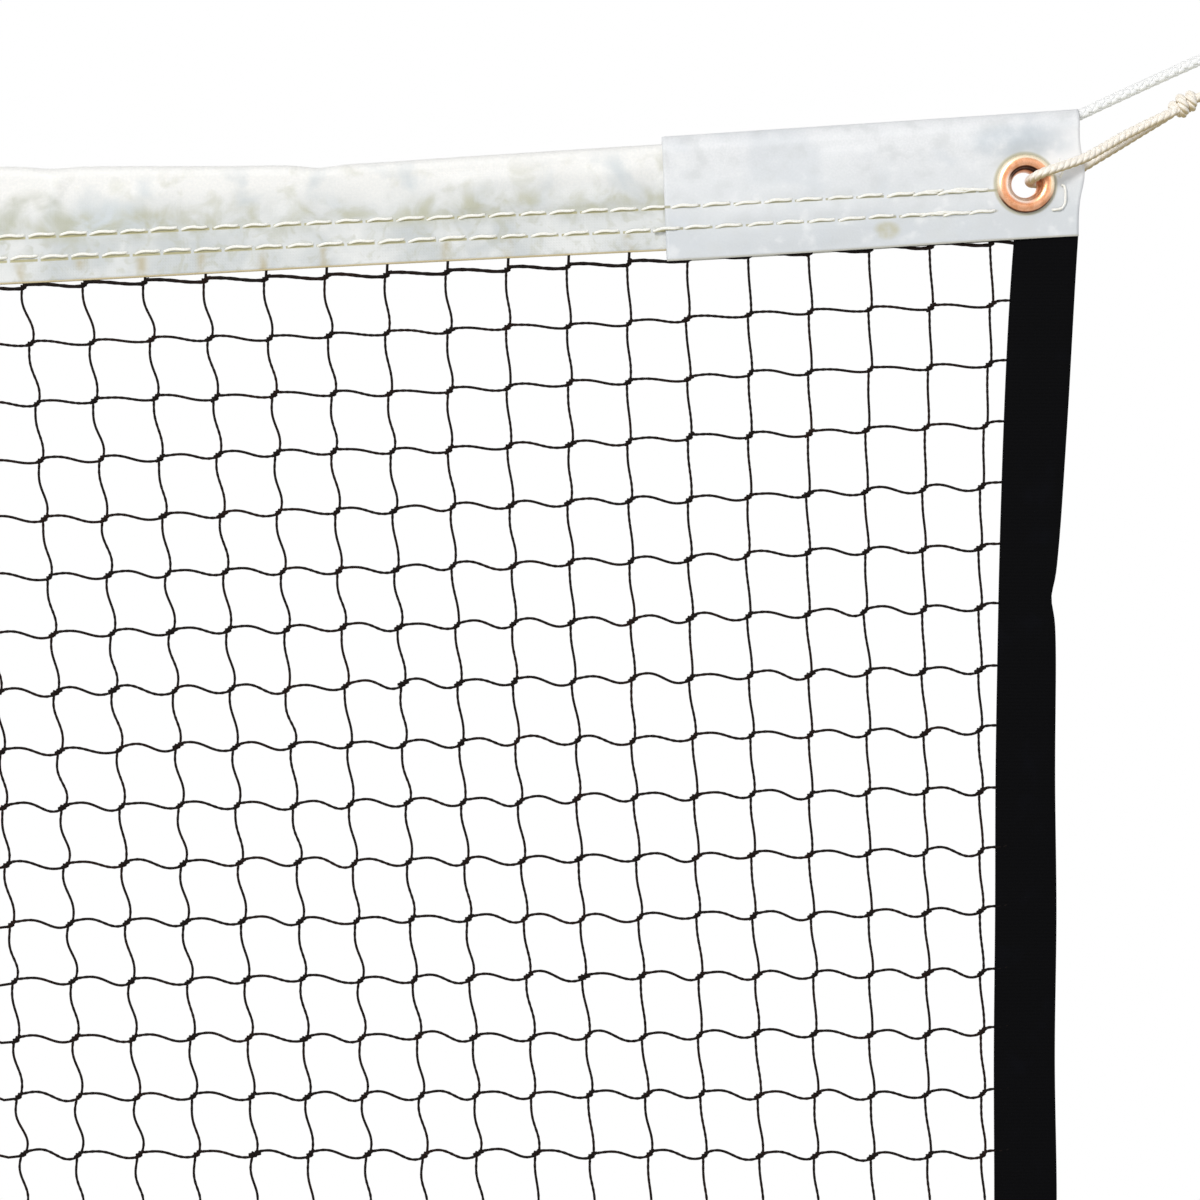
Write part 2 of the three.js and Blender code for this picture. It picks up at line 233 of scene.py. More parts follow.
class Shape:
    """Points in millimetres, the faces between them, and for each point its place on the flat cloth
    (lay) and how far out of a rope's creases it stands (relief)."""

    def __init__(self):
        self.points = []
        self.lay = []
        self.relief = []
        self.faces = {}
        self.count = 0

    def add(self, points, faces, lay=None, relief=None):
        points = np.asarray(points, float).reshape(-1, 3)
        for block in faces:
            block = np.asarray(block, int)
            if block.size:
                self.faces.setdefault(block.shape[1], []).append(block + self.count)
        self.points.append(points)
        self.lay.append(points[:, [0, 2]] if lay is None else np.reshape(lay, (-1, 2)))
        self.relief.append(np.ones(len(points)) if relief is None else np.ravel(relief))
        self.count += len(points)

    def build(self, name, finish):
        points = np.concatenate(self.points) * MM
        lay = np.concatenate(self.lay)
        relief = np.concatenate(self.relief)
        loops, starts, at = [], [], 0
        for size, blocks in sorted(self.faces.items()):
            block = np.concatenate(blocks)
            loops.append(block.ravel())
            starts.append(at + size * np.arange(len(block)))
            at += block.size
        loops = np.concatenate(loops).astype(np.int32)
        starts = np.concatenate(starts).astype(np.int32)
        mesh = bpy.data.meshes.new(name)
        mesh.vertices.add(len(points))
        mesh.vertices.foreach_set("co", points.astype(np.float32).ravel())
        mesh.loops.add(len(loops))
        mesh.loops.foreach_set("vertex_index", loops)
        mesh.polygons.add(len(starts))
        mesh.polygons.foreach_set("loop_start", starts)
        mesh.update(calc_edges=True)
        mesh.validate()
        uv = mesh.uv_layers.new(name="Lay")
        uv.data.foreach_set("uv", lay[loops].astype(np.float32).ravel())
        crease = mesh.attributes.new("relief", "FLOAT", "POINT")
        crease.data.foreach_set("value", relief.astype(np.float32))
        mesh.shade_smooth()
        mesh.materials.append(finish)
        made = bpy.data.objects.new(name, mesh)
        bpy.context.scene.collection.objects.link(made)
        return made


def ring_quads(rings, sides):
    """The quads of a tube whose rings of points are listed one after another."""
    ring, side = np.meshgrid(np.arange(rings - 1), np.arange(sides), indexing="ij")
    here = ring * sides
    turn = (side + 1) % sides
    corners = [here + side, here + turn, here + sides + turn, here + sides + side]
    return np.stack(corners, -1).reshape(-1, 4)


def tube_faces(rings, sides):
    """The faces of a closed tube: its quads and its two ends."""
    around = np.arange(sides)
    return [ring_quads(rings, sides), np.array([around[::-1], around + (rings - 1) * sides])]


def round_angles(sides):
    return 2 * np.pi * np.arange(sides) / sides


def add_tube(shape, line, radius, sides):
    """A round closed tube along a line; radius is one number or one per point."""
    _, across, over = frames_along(line)
    angle = round_angles(sides)
    size = np.reshape(radius, (-1, 1))
    rings = (
        line[:, None]
        + across[:, None] * (np.cos(angle) * size)[..., None]
        + over[:, None] * (np.sin(angle) * size)[..., None]
    )
    shape.add(rings, tube_faces(len(line), sides))


YARN_RIDGE = 0.13  # how far a twine's two yarns stand out, as a share of its radius


def many_tubes(shape, lines, radius, sides, twist=None):
    """Closed tubes along many lines at once, each (number, points, 3) and lying near the net's plane.
    twist is a twine's lay length: its two yarns then show as ridges along it."""
    lines = np.asarray(lines, float)
    number, points, _ = lines.shape
    ahead = unit(np.gradient(lines, axis=1))
    over = np.array((0.0, 1.0, 0.0))
    across = unit(np.cross(ahead, over))
    angle = round_angles(sides)
    size = np.full((number, points, sides), float(radius))
    if twist:
        steps = np.linalg.norm(np.diff(lines, axis=1), axis=2)
        along = np.concatenate([np.zeros((number, 1)), np.cumsum(steps, axis=1)], axis=1)
        size *= 1 + YARN_RIDGE * np.cos(2 * (angle - 2 * np.pi * along[..., None] / twist))
    rings = (
        lines[:, :, None]
        + across[:, :, None] * (np.cos(angle) * size)[..., None]
        + over * (np.sin(angle) * size)[..., None]
    )
    each = (np.arange(number) * points * sides)[:, None, None]
    shape.add(rings, [(block + each).reshape(-1, block.shape[1]) for block in tube_faces(points, sides)])


def copies(shape, template, places, turns, sizes):
    """Copies of a template (points, faces) at places, turned in the net's plane by an angle."""
    points, faces = template
    c, s = np.cos(turns)[:, None], np.sin(turns)[:, None]
    x = (points[:, 0] * c - points[:, 2] * s) * sizes[:, None]
    z = (points[:, 0] * s + points[:, 2] * c) * sizes[:, None]
    y = np.broadcast_to(points[:, 1], x.shape) * sizes[:, None]
    moved = np.stack([x, y, z], axis=-1) + places[:, None]
    each = (np.arange(len(places)) * len(points))[:, None, None]
    shape.add(moved, [(block + each).reshape(-1, block.shape[1]) for block in faces])


def as_template(shape):
    """A shape's points and faces, ready to be copied."""
    return np.concatenate(shape.points), [np.concatenate(b) for b in shape.faces.values()]


def on_headband(piece, node=None):
    """A piece that moves with the headband, standing for that node of the frame."""
    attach(piece, "headband")
    if node:
        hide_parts(node)


def hang(piece, node, bend):
    """A piece with its place baked into its mesh, standing for that node of the frame; bend is not used.
    """
    bend[0] * MM
    bend[1] * MM
    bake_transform(piece)
    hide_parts(node)


# ---------------------------------------------------------------- finishes


def tone(code):
    """A colour as a maker's chart gives it, turned into light."""
    parts = [int(code[i : i + 2], 16) / 255 for i in (0, 2, 4)]
    return tuple(((c + 0.055) / 1.055) ** 2.4 if c > 0.04045 else c / 12.92 for c in parts)


class Value:
    """A number that varies over a surface. Arithmetic on it adds the nodes that work it out."""

    def __init__(self, finish, socket):
        self.finish = finish
        self.socket = socket

    def __add__(self, other):
        return self.finish.math("ADD", self, other)

    __radd__ = __add__

    def __sub__(self, other):
        return self.finish.math("SUBTRACT", self, other)

    def __rsub__(self, other):
        return self.finish.math("SUBTRACT", other, self)

    def __mul__(self, other):
        return self.finish.math("MULTIPLY", self, other)

    __rmul__ = __mul__

    def __truediv__(self, other):
        return self.finish.math("DIVIDE", self, other)

    def __pow__(self, other):
        return self.finish.math("POWER", self, other)

    def least(self, other):
        return self.finish.math("MINIMUM", self, other)

    def most(self, other):
        return self.finish.math("MAXIMUM", self, other)

    def wave(self, period):
        """1 at every whole period and 0 half way between."""
        return self.finish.math("COSINE", self * (2 * math.pi / period)) * 0.5 + 0.5

    def part_of(self, period):
        """How far into its period it is, from 0 to 1."""
        return self.finish.math("FRACT", self / period)

    def between(self, low, high):
        """0 below low and 1 above high, or the other way round, with a soft run between."""
        flip = high < low
        run = self.finish.node(
            "MapRange",
            {"Value": self, "From Min": min(low, high), "From Max": max(low, high)},
            interpolation_type="SMOOTHSTEP",
        )
        value = Value(self.finish, run.outputs["Result"])
        return 1 - value if flip else value

    def band(self, low, high, soft):
        """1 from low to high, falling off softly outside."""
        return self.between(low - soft, low) * self.between(high + soft, high)


class Finish:
    """A material, built up from values over the surface."""

    def __init__(self, name, **fixed):
        self.material = bpy.data.materials.new(name)
        self.material.use_nodes = True
        self.tree = self.material.node_tree
        self.shader = self.tree.nodes["Principled BSDF"]
        self.set(**fixed)

    def set(self, **values):
        """Gives the shader's own sockets their values."""
        for socket, value in values.items():
            self.plug(self.shader.inputs[socket.replace("_", " ")], value)
        return self.material

    def plug(self, socket, value):
        """Links a value or a socket to a node's socket, or sets a constant on it."""
        if isinstance(value, Value):
            value = value.socket
        if isinstance(value, bpy.types.NodeSocket):
            self.tree.links.new(value, socket)
        elif isinstance(value, tuple) and socket.type == "RGBA":
            socket.default_value = (*value, 1.0)
        else:
            socket.default_value = value

    def node(self, kind, sockets=None, **settings):
        made = self.tree.nodes.new("ShaderNode" + kind)
        for key, value in settings.items():
            setattr(made, key, value)
        for key, value in (sockets or {}).items():
            self.plug(made.inputs[key], value)
        return made

    def math(self, operation, *values):
        made = self.node("Math", dict(enumerate(values)), operation=operation)
        return Value(self, made.outputs[0])

    def away(self, value):
        """How far a value is from 0, either way."""
        return self.math("ABSOLUTE", value)

    def parts(self, vector):
        """A vector's x, y and z."""
        return [Value(self, part) for part in self.node("SeparateXYZ", {0: vector}).outputs]

    def lay(self):
        """The place on the flat cloth, in millimetres: along the net, and across."""
        along, across, _ = self.parts(self.node("UVMap", uv_map="Lay").outputs[0])
        return along, across

    def place(self):
        """The place on the net, in millimetres."""
        found = self.node("TexCoord").outputs["Object"]
        scaled = self.node("VectorMath", {0: found, "Scale": 1 / MM}, operation="SCALE")
        return scaled.outputs[0]

    def relief(self):
        """How far out of a rope's creases the surface stands, 1 at the rope's full size."""
        found = self.node("Attribute", attribute_name="relief")
        return Value(self, found.outputs["Fac"])

    def facing_up(self):
        """1 where the surface faces straight up and -1 where it faces down."""
        _, _, up = self.parts(self.node("NewGeometry").outputs["Normal"])
        return up

    def flat(self, along, across):
        """The place on the flat cloth, for noise to follow."""
        return self.node("CombineXYZ", {0: along, 1: across}).outputs[0]

    def noise(self, where, size, detail=2.0, swirl=0.0):
        """Soft noise from 0 to 1, with features of about that size in millimetres."""
        sockets = {"Vector": where, "Scale": 1 / size, "Detail": detail, "Distortion": swirl}
        return Value(self, self.node("TexNoise", sockets).outputs[0])

    def coats(self, base, *marks):
        """A base colour with each mark, a (share, colour), laid over it in turn."""
        colour = tone(base)
        for share, code in marks:
            mixed = self.node("Mix", {0: share, 6: colour, 7: tone(code)}, data_type="RGBA")
            colour = mixed.outputs[2]
        return colour

    def bump(self, height, depth, strength):
        """Raises the surface by a height from 0 to 1, depth being in millimetres."""
        sockets = {"Height": height, "Distance": depth * MM, "Strength": strength}
        self.set(Normal=self.node("Bump", sockets).outputs[0])


def under_stitches(finish, along, height):
    """The shaded line just under each stitch of the two rows."""
    total = None
    for number, row in enumerate(STITCH_ROWS):
        shift = GROMMET_X - ROW_START - number * ROW_STAGGER * STITCH_PITCH
        dash = 1 - (along + shift).part_of(STITCH_PITCH).band(0.47, 0.53, 0.04)
        line = height.band(row - 0.85, row - 0.35, 0.3) * dash
        total = line if total is None else total.most(line)
    return total * finish.away(along).between(GROMMET_X - 8.0, GROMMET_X - 10.0)


def headband_cloth():
    """White coated cloth: painted greyish shade below the fold, and painted khaki-green shade of the
    puckers between the stitches and the rope.
    """
    finish = Finish("headband_coated_cloth", Specular_IOR_Level=0.35)
    along, across = finish.lay()
    height = across.least(2 * HEADBAND_HALF - across)
    flat = finish.flat(along, across)
    soft = finish.noise(flat, 26.0, 3.0, 0.4)
    patchy = finish.noise(flat, 9.0, 4.0, 0.6)
    grain = finish.noise(flat, 0.9, 3.0)
    x, _, _ = finish.parts(finish.place())
    body = height.band(16.0, 27.0, 7.0)
    # painted shade: greyer towards the lower part of the headband, where the drape below the fold turns
    # from the light
    low = height.between(29.0, 14.5)
    low = low * (soft.between(0.3, 0.6) * 0.35 + patchy.between(0.3, 0.65) * 0.25 + 0.4)
    # painted bluish shade of the soft folds below the rope
    painted_fold_shade = soft.between(0.50, 0.66) * body
    # painted khaki-greyish shade of the wrinkles
    painted_wrinkle_shade = patchy.between(0.48, 0.72) * soft.between(0.62, 0.44) * body
    # painted khaki-green shade of the puckers just above the upper row of stitches
    painted_pucker_shade = patchy.between(0.36, 0.62) * height.band(14.6, 17.5, 5.0) * soft.between(0.36, 0.56)
    # painted khaki-greyish shade along the inverted-V crease at the dents
    apart = finish.away(x) - DENT_X
    over_rows = height - 19.0
    fold = (apart * apart / 1400.0 + over_rows * over_rows / 90.0).between(1.3, 0.1)
    ridge = (finish.away(apart + 6.0) - (30.0 - height) * 0.8).band(-2.5, 2.0, 4.0)
    crease = fold * ridge * patchy.between(0.2, 0.6)
    blotch = finish.noise(flat, 5.0, 4.0, 1.0).between(0.5, 0.68) * height.between(15.0, 12.0)
    # lighter patches on the lower part of the cloth
    lighter_patches = soft.between(0.55, 0.4) * height.between(13.0, 9.0)
    tied = (along + 9.0).wave(MESH_W) ** 14.0 * height.band(0.0, 5.0, 1.5) * patchy.between(0.4, 0.65)
    colour = finish.coats(
        "f0f0ee",
        (grain.between(0.3, 0.75), "f7f6f3"),
        (low * 0.95, "c0c5c6"),
        (painted_fold_shade * 0.6, "c3ccd1"),
        (painted_wrinkle_shade * 0.5, "c0c1ae"),
        (painted_pucker_shade * 0.6, "b4b290"),
        (crease * 0.6, "b3b6a6"),
        (blotch * 0.6, "b9bbae"),
        (lighter_patches * 0.2, "f2f3f2"),
        (tied * 0.7, "b5a983"),
        (under_stitches(finish, along, height) * 0.85, "a8a172"),
        (height.between(0.6, 0.25) * 0.8, "d6c28c"),
    )
    weave = along.wave(0.85) * across.wave(0.85)
    finish.bump(weave * 0.25 + grain * 0.5 + patchy * 0.9, 0.16, 0.7)
    return finish.set(Base_Color=colour, Roughness=grain * 0.2 + 0.45)


def patch_cloth():
    """Smooth coated cloth: shaded above the grommet, with a painted shadow in a thin ring round it, and
    stained near its start.
    """
    finish = Finish("patch_smooth_cloth", Specular_IOR_Level=0.4)
    along, across = finish.lay()
    height = across.least(2 * PATCH_HALF - across) - PATCH_OVERHANG
    flat = finish.flat(along, across)
    soft = finish.noise(flat, 22.0, 2.0, 0.5)
    patchy = finish.noise(flat, 7.0, 3.0)
    grain = finish.noise(flat, 0.7, 3.0)
    x, _, z = finish.parts(finish.place())
    out = finish.away(x)
    bright_end = out.between(HALF_LENGTH - 16.0, HALF_LENGTH - 9.0)
    beside = out - GROMMET_X
    above = z - GROMMET_Z
    beside_dish = beside + 1.5
    above_dish = above - 13.0
    dish = (beside_dish * beside_dish / 420.0 + above_dish * above_dish / 48.0).between(1.0, 0.05)
    from_grommet = (beside * beside + above * above) ** 0.5
    beside_stain = out - (PATCH_START + 70.0)
    above_stain = above + 14.5
    stain = (beside_stain * beside_stain / 26.0 + above_stain * above_stain / 12.0).between(1.0, 0.1)
    colour = finish.coats(
        "e6e8ea",
        (grain.between(0.3, 0.75), "eeeff1"),
        (height.between(31.0, 15.0) * 0.5, "d0d4d7"),
        (height.between(14.0, 3.0) * 0.55, "c8cdd1"),
        (soft.between(0.5, 0.7) * 0.4, "ccd2d8"),
        (patchy.between(0.48, 0.7) * 0.45, "cfd2d3"),
        (patchy.between(0.46, 0.28) * 0.4, "f3f4f5"),
        (bright_end * height.band(18.0, 30.0, 4.0) * 0.7, "fbfbfc"),
        (dish * patchy.between(0.15, 0.6) * 0.6, "bcc6ce"),
        # painted khaki shadow in a thin ring round the grommet's flange
        (from_grommet.band(8.7, 9.5, 0.9) * 0.6, "a8a070"),
        (stain * patchy.between(0.3, 0.6) * 0.7, "b9b48e"),
        (under_stitches(finish, along, height) * 0.8, "a09b74"),
        (height.between(-2.7, -3.3) * 0.5, "c9c2a4"),
    )
    finish.bump(grain * 0.6 + patchy * 0.8, 0.12, 0.6)
    return finish.set(Base_Color=colour, Roughness=grain * 0.15 + 0.42)


def thread_finish():
    """Off-white sewing thread, with a little green painted shade on the side that faces down."""
    finish = Finish("off_white_sewing_thread", Sheen_Weight=0.2)
    ply = finish.noise(finish.place(), 0.5, 3.0, 1.0)
    # painted shade where the thread faces down
    painted_underside_shade = finish.facing_up().between(-0.45, -0.95)
    colour = finish.coats("f1efe6", (ply.between(0.3, 0.7), "fdfdf9"), (painted_underside_shade * 0.7, "cfc896"))
    finish.bump(ply, 0.12, 0.8)
    return finish.set(Base_Color=colour, Roughness=0.8)


def rope_finish(name, high, mid, crease, crease_shade_at, under, underside_shade_share):
    """A rope's yarn: two tones in its fibre, a third as painted shade in its creases and a fourth as
    painted shade underneath. The pair of reliefs given for the crease shade says at what relief it starts
    and where it is deepest."""
    finish = Finish(name, Sheen_Weight=0.15)
    where = finish.place()
    fibre = finish.noise(where, 0.9, 1.0, 1.0)
    soft = finish.noise(where, 4.0, 2.0)
    colour = finish.coats(
        mid,
        (fibre.between(0.3, 0.7), high),
        (soft.between(0.45, 0.75) * 0.4, mid),
        # painted shade in the rope's creases
        (finish.relief().between(*crease_shade_at) * 0.85, crease),
        # painted shade on the side that faces down
        (finish.facing_up().between(-0.1, -0.8) * underside_shade_share, under),
    )
    finish.bump(fibre, 0.08, 0.3)
    return finish.set(Base_Color=colour, Roughness=fibre * 0.2 + 0.6)


def grommet_finish():
    """Copper-coloured brass: pale painted highlights on the rim and on the lower left of the throat's
    lip, and painted brown shadow inside the top of the throat and along the rim's lower edge.
    """
    finish = Finish("copper_brass", Metallic=0.85)
    right, up = finish.lay()
    out = (right * right + up * up) ** 0.5
    where = finish.place()
    mottle = finish.noise(where, 1.6, 3.0)
    scratch = finish.noise(where, 0.25, 2.0, 2.0)
    top = up / out
    # the lower-left side, where the painted highlight goes
    painted_sheen = ((right * -0.79 + up * -0.61) / out).between(-0.1, 0.9)
    colour = finish.coats(
        "d9966c",
        (mottle.between(0.3, 0.7), "e9af8a"),
        # painted highlight on the rim's upper part
        (out.band(8.2, 9.4, 0.5) * top.between(-0.75, 0.1) * 0.85, "fbf2d6"),
        # painted highlight on the lower left of the throat's lip, and a painted darker band beside it
        (out.band(4.8, 6.0, 0.7) * painted_sheen * 0.9, "fdeee2"),
        (out.band(6.3, 6.7, 0.4) * painted_sheen * 0.6, "c4784c"),
        # painted shadow inside the top of the throat
        (out.band(4.6, 5.5, 0.3) * top.between(0.1, 0.6) * 0.95, "2a1106"),
        # painted shade along the rim's lower edge
        (out.band(8.9, 9.6, 0.3) * top.between(-0.25, -0.75) * 0.9, "3a1a0a"),
    )
    finish.bump(mottle * 0.5 + scratch * 0.3, 0.05, 0.5)
    return finish.set(Base_Color=colour, Roughness=scratch * 0.18 + 0.2)


def twine_finish():
    """Near-black twine, browner in places where the dye has gone."""
    finish = Finish("black_brown_twine", Specular_IOR_Level=0.12)
    flat = finish.flat(*finish.lay())
    fibre = finish.noise(flat, 0.5, 2.0, 1.0)
    dye = finish.noise(flat, 14.0, 2.0)
    browner = dye.between(0.45, 0.75)
    colour = finish.coats("080403", (fibre.between(0.3, 0.7), "150c08"), (browner * 0.6, "24120a"))
    finish.bump(fibre, 0.08, 0.6)
    return finish.set(Base_Color=colour, Roughness=fibre * 0.2 + 0.6)


def binding_finish():
    """Black polypropylene webbing: fine ribs across, and a faint blue painted sheen in soft patches."""
    finish = Finish("black_webbing", Specular_IOR_Level=0.06)
    across, down = finish.lay()
    flat = finish.flat(across, down)
    yarn = finish.noise(flat, 0.6, 2.0)
    # soft patches of faint blue painted sheen
    painted_sheen = finish.noise(flat, 17.0, 3.0).between(0.55, 0.75)
    rib = down.wave(1.1)
    slant = (across + down * 0.5).wave(0.8)
    colour = finish.coats("020203", (yarn.between(0.3, 0.7), "060608"), (painted_sheen * 0.4, "0b0c12"))
    finish.bump(rib * 0.6 + slant * 0.25 + yarn * 0.3, 0.18, 0.6)
    return finish.set(Base_Color=colour, Roughness=yarn * 0.2 + 0.7)


# ---------------------------------------------------------------- ropes


BRAID_STRANDS = 8
BRAID_PITCH = 13.2  # for one turn of a strand
TWIST_STRANDS = 3
TWIST_PITCH = 6.8
KNOT_TWIST_PITCH = 6.4
ROPE_STEP = 0.45


def braided(shape, line, diameter):
    """A round braid: half the strands turn one way and half the other, passing over and under."""
    side = diameter * 0.235
    flat = 0.62 * side
    wave = 0.26 * side
    _, across, over = frames_along(line)
    along = run_along(line)
    half = BRAID_STRANDS // 2
    for way in (1, -1):
        weave = np.cos(2 * np.pi * along * BRAID_STRANDS / BRAID_PITCH / 2)
        out = diameter / 2 - flat + way * wave * weave
        for k in range(half):
            turn = way * 2 * np.pi * along / BRAID_PITCH + 2 * np.pi * k / half
            add_strand(shape, line, across, over, turn, out, 1.3 * side, flat, diameter / 2, 8)


def twisted(shape, line, diameter, pitch):
    """A twisted rope of three strands."""
    strand = diameter * 0.262
    out = diameter / 2 - strand
    _, across, over = frames_along(line)
    along = run_along(line)
    for k in range(TWIST_STRANDS):
        turn = -2 * np.pi * along / pitch + 2 * np.pi * k / TWIST_STRANDS
        add_strand(shape, line, across, over, turn, out, 1.12 * strand, strand, diameter / 2, 12)


def add_strand(shape, line, across, over, turn, out, half_width, half_height, rope_r, sides):
    """One strand of a rope: its middle goes round the line at distance out."""
    outward = across * np.cos(turn)[:, None] + over * np.sin(turn)[:, None]
    middle = line + outward * np.broadcast_to(out, turn.shape)[:, None]
    ahead = unit(np.gradient(middle, axis=0))
    beside = unit(np.cross(ahead, outward))
    angle = round_angles(sides)
    rings = (
        middle[:, None]
        + outward[:, None] * (half_height * np.cos(angle))[None, :, None]
        + beside[:, None] * (half_width * np.sin(angle))[None, :, None]
    )
    relief = np.linalg.norm(rings - line[:, None], axis=2) / rope_r
    shape.add(rings, tube_faces(len(line), sides), relief=relief)


KNOT_R = 2.2  # middle of the rope's wraps
KNOT_WRAPS = 2.35
HEAD_KNOT_ROPE_D = 3.1  # drawn tight


def barrel_knot(centre, lean, length, side):
    """The rope's wraps in a double overhand knot, drawn up round the rope along its lean."""
    t = np.linspace(0, 1, 110)
    along = (t - 0.5) * length
    turn = 2 * np.pi * KNOT_WRAPS * t
    out = KNOT_R * (0.5 + 0.5 * np.sin(np.pi * t) ** 0.7)
    y = -out * np.cos(turn)
    z = out * np.sin(turn)
    c, s = math.cos(lean), math.sin(lean)
    x = side * (along * c - z * s)
    return np.stack([centre[0] + x, centre[1] + y, centre[2] + along * s + z * c], axis=1)


# Routes as [out, y, z] from an anchor, out being away from mid-span.
HEAD_END = [
    [-6.7, 0, 0.9], [-3.5, 0, 2.0], [0, 0, 3.4], [4, 0, 5.3],
    [12, 0, 9.0], [24, 0, 14.5], [40, 0, 21.6], [57.6, 0, 28.8],
]
HEAD_KNOT = [61.8, 0, 30.6]
HEAD_EYE = [
    [65.6, -1.2, 34.1], [70.5, -1.2, 39.3], [77.5, -1.0, 44.7], [86.0, -0.6, 48.3],
    [93.0, 0, 49.1], [97.8, 0, 46.5], [98.2, 0, 41.3], [94.2, 0.6, 36.3],
    [86.5, 1.0, 32.9], [77.0, 1.2, 31.1], [67.4, 1.2, 30.3],
]
TIE_FRONT = [
    [-2.2, 0, 1.45], [-2.2, -2, 1.45], [-2.0, -3.7, 1.55], [-1.25, -5.1, 1.95],
    [0.1, -6.2, 2.6], [2.03, -6.7, 3.35], [4.1, -6.6, 4.1], [8.65, -5.6, 5.7],
    [14.25, -4.4, 7.9], [19.95, -3.3, 11.1], [25.95, -2.5, 14.6], [32.95, -2.0, 18.2],
    [41.45, -1.8, 22.3],
]
TIE_REAR = [
    [-2.2, 0, 1.45], [-2.2, 3, 1.45], [-1.95, 4.7, 1.4], [-1.15, 6.4, 1.4],
    [0.4, 8.1, 1.5], [2.3, 9.0, 1.7], [4.45, 9.0, 2.05], [9.05, 7.4, 3.2],
    [14.25, 5.3, 5.8], [18.95, 3.9, 8.6], [24.95, 2.8, 12.2], [32.45, 2.1, 16.8],
    [41.45, 1.8, 22.3],
]
TIE_KNOT = [45.55, 0, 25]
TIE_TAIL = [
    [50.45, 0, 27.4], [54.45, 0, 28.4], [61.45, 0, 29.6], [70.45, 0, 30.7], [81.45, 0, 31.6],
]
TIE_END_KNOT = [86.05, 0, 31.9]


def mouth(side):
    """Where the head rope leaves the fold."""
    return np.array((side * HALF_LENGTH, 0.0, float(lift(HALF_LENGTH, ROPE_LIFT))))


def grommet_centre(side):
    return np.array((side * GROMMET_X, 0.0, float(lift(GROMMET_X, ROPE_LIFT)) - GROMMET_BELOW_ROPE))


def hole_side(side):
    """The outer side of the grommet's hole, where the tie rope goes through."""
    return grommet_centre(side) + (side * GROMMET_HOLE_R, 0.0, 0.0)


def route(points, anchor, side):
    """A route's points at their places on the net, mirrored for its left end."""
    return np.asarray(points, float) * (side, 1, 1) + anchor


def make_head_rope(side, hand, finish):
    """The head rope past the fold: its run, and the eye and knot that hook it on the post."""
    anchor = mouth(side)
    (knot_at,) = route([HEAD_KNOT], anchor, side)
    run = through(route([*HEAD_END, HEAD_KNOT], anchor, side), ROPE_STEP)
    eye = through(route(HEAD_EYE, anchor, side), ROPE_STEP)
    wraps = barrel_knot(knot_at, 0.5, 6.4, side)
    for part, line, diameter in (
        ("end", run, ROPE_D),
        ("eye", eye, ROPE_D),
        ("knot", wraps, HEAD_KNOT_ROPE_D),
    ):
        shape = Shape()
        braided(shape, line, diameter)
        piece = shape.build(f"head_rope_{part}_{hand}_braid", finish)
        on_headband(piece, f"head_rope_{part}_{hand}")


def make_tie_rope(side, hand, finish):
    """The tie rope: doubled through the grommet, knotted, and its tail with a stopper knot."""
    anchor = hole_side(side)
    (knot_at,) = route([TIE_KNOT], anchor, side)
    (end_at,) = route([TIE_END_KNOT], anchor, side)
    routes = {
        "front": [*TIE_FRONT, TIE_KNOT],
        "rear": [*TIE_REAR, TIE_KNOT],
        "tail": [TIE_KNOT, *TIE_TAIL, TIE_END_KNOT],
    }
    lines = {part: through(route(points, anchor, side), ROPE_STEP) for part, points in routes.items()}
    made = {}
    for part, line in lines.items():
        shape = Shape()
        twisted(shape, line, ROPE_D, TWIST_PITCH)
        made[part] = shape.build(f"tie_rope_{part}_{hand}_twist", finish)
        on_headband(made[part], f"tie_rope_{part}_{hand}")
    for part, name, at, lean, length in (
        ("front", "tie_knot", knot_at, 0.58, 7.4),
        ("tail", "tie_end_knot", end_at, 0.04, 5.6),
    ):
        shape = Shape()
        twisted(shape, barrel_knot(at, lean, length, side), ROPE_D, KNOT_TWIST_PITCH)
        knot = shape.build(f"{name}_{hand}_twist", finish)
        on_headband(knot, f"{name}_{hand}")


def make_hidden_rope(finish):
    """The head rope where it runs inside the headband."""
    rising = np.linspace(2700, TAPE_END, 60)
    x = np.concatenate([-rising[::-1], np.linspace(-2660, 2660, 120), rising])
    line = np.stack([x, 0 * x, lift(x, ROPE_LIFT)], axis=1)
    shape = Shape()
    add_tube(shape, line, ROPE_D / 2, 12)
    piece = shape.build("head_rope_inside", finish)
    on_headband(piece, "head_rope")


# ---------------------------------------------------------------- headband and patches


def fold_section(fold_r, ply_y, drop, crest, step):
    """Half of a folded cloth's section, from the crest of the fold to the hem, as (y, z) of the
    cloth's middle on the front, with its distance from the hem. Crest is how far the fold peaks."""
    angle = np.linspace(np.pi / 2, -0.35, 14)
    arc = np.stack([fold_r * np.cos(angle), fold_r * np.sin(angle)], axis=1)
    arc[:, 1] += crest * np.clip(np.sin(angle), 0, 1) ** 3
    neck = np.array([[ply_y + 0.25, -NECK_DEPTH], [ply_y, -NECK_DEPTH - 4.0]])
    line = np.concatenate([arc, neck, [[ply_y, -drop]]])
    line = np.column_stack([-line[:, 0], np.zeros(len(line)), line[:, 1]])
    line = evenly(through(line, 0.2), step)
    along = run_along(line)
    return line[:, [0, 2]], along[-1] - along


def true_heights(x, run, half):
    """The distance run round the fold, drawn so that the stitch rows keep their height all along."""
    front = np.minimum(run, 2 * half - run)
    above = front * squeeze(x) - row_wander(x, 0.0) * np.clip((front - 1.0) / 5.0, 0, 1)
    return np.where(run <= half, above, 2 * half - above)


def folded_grid(section, heights):
    """Front and rear halves as one run of (y, z) from the front hem round to the rear hem, with the
    distance run from the front hem and which side each point is on."""
    front = section[::-1]
    rear = section[1:] * (-1, 1)
    total = heights[0]
    run = np.concatenate([heights[::-1], 2 * total - heights[1:]])
    ply = np.concatenate([-np.ones(len(front) - 1), [0.0], np.ones(len(rear))])
    return np.concatenate([front, rear]), run, ply


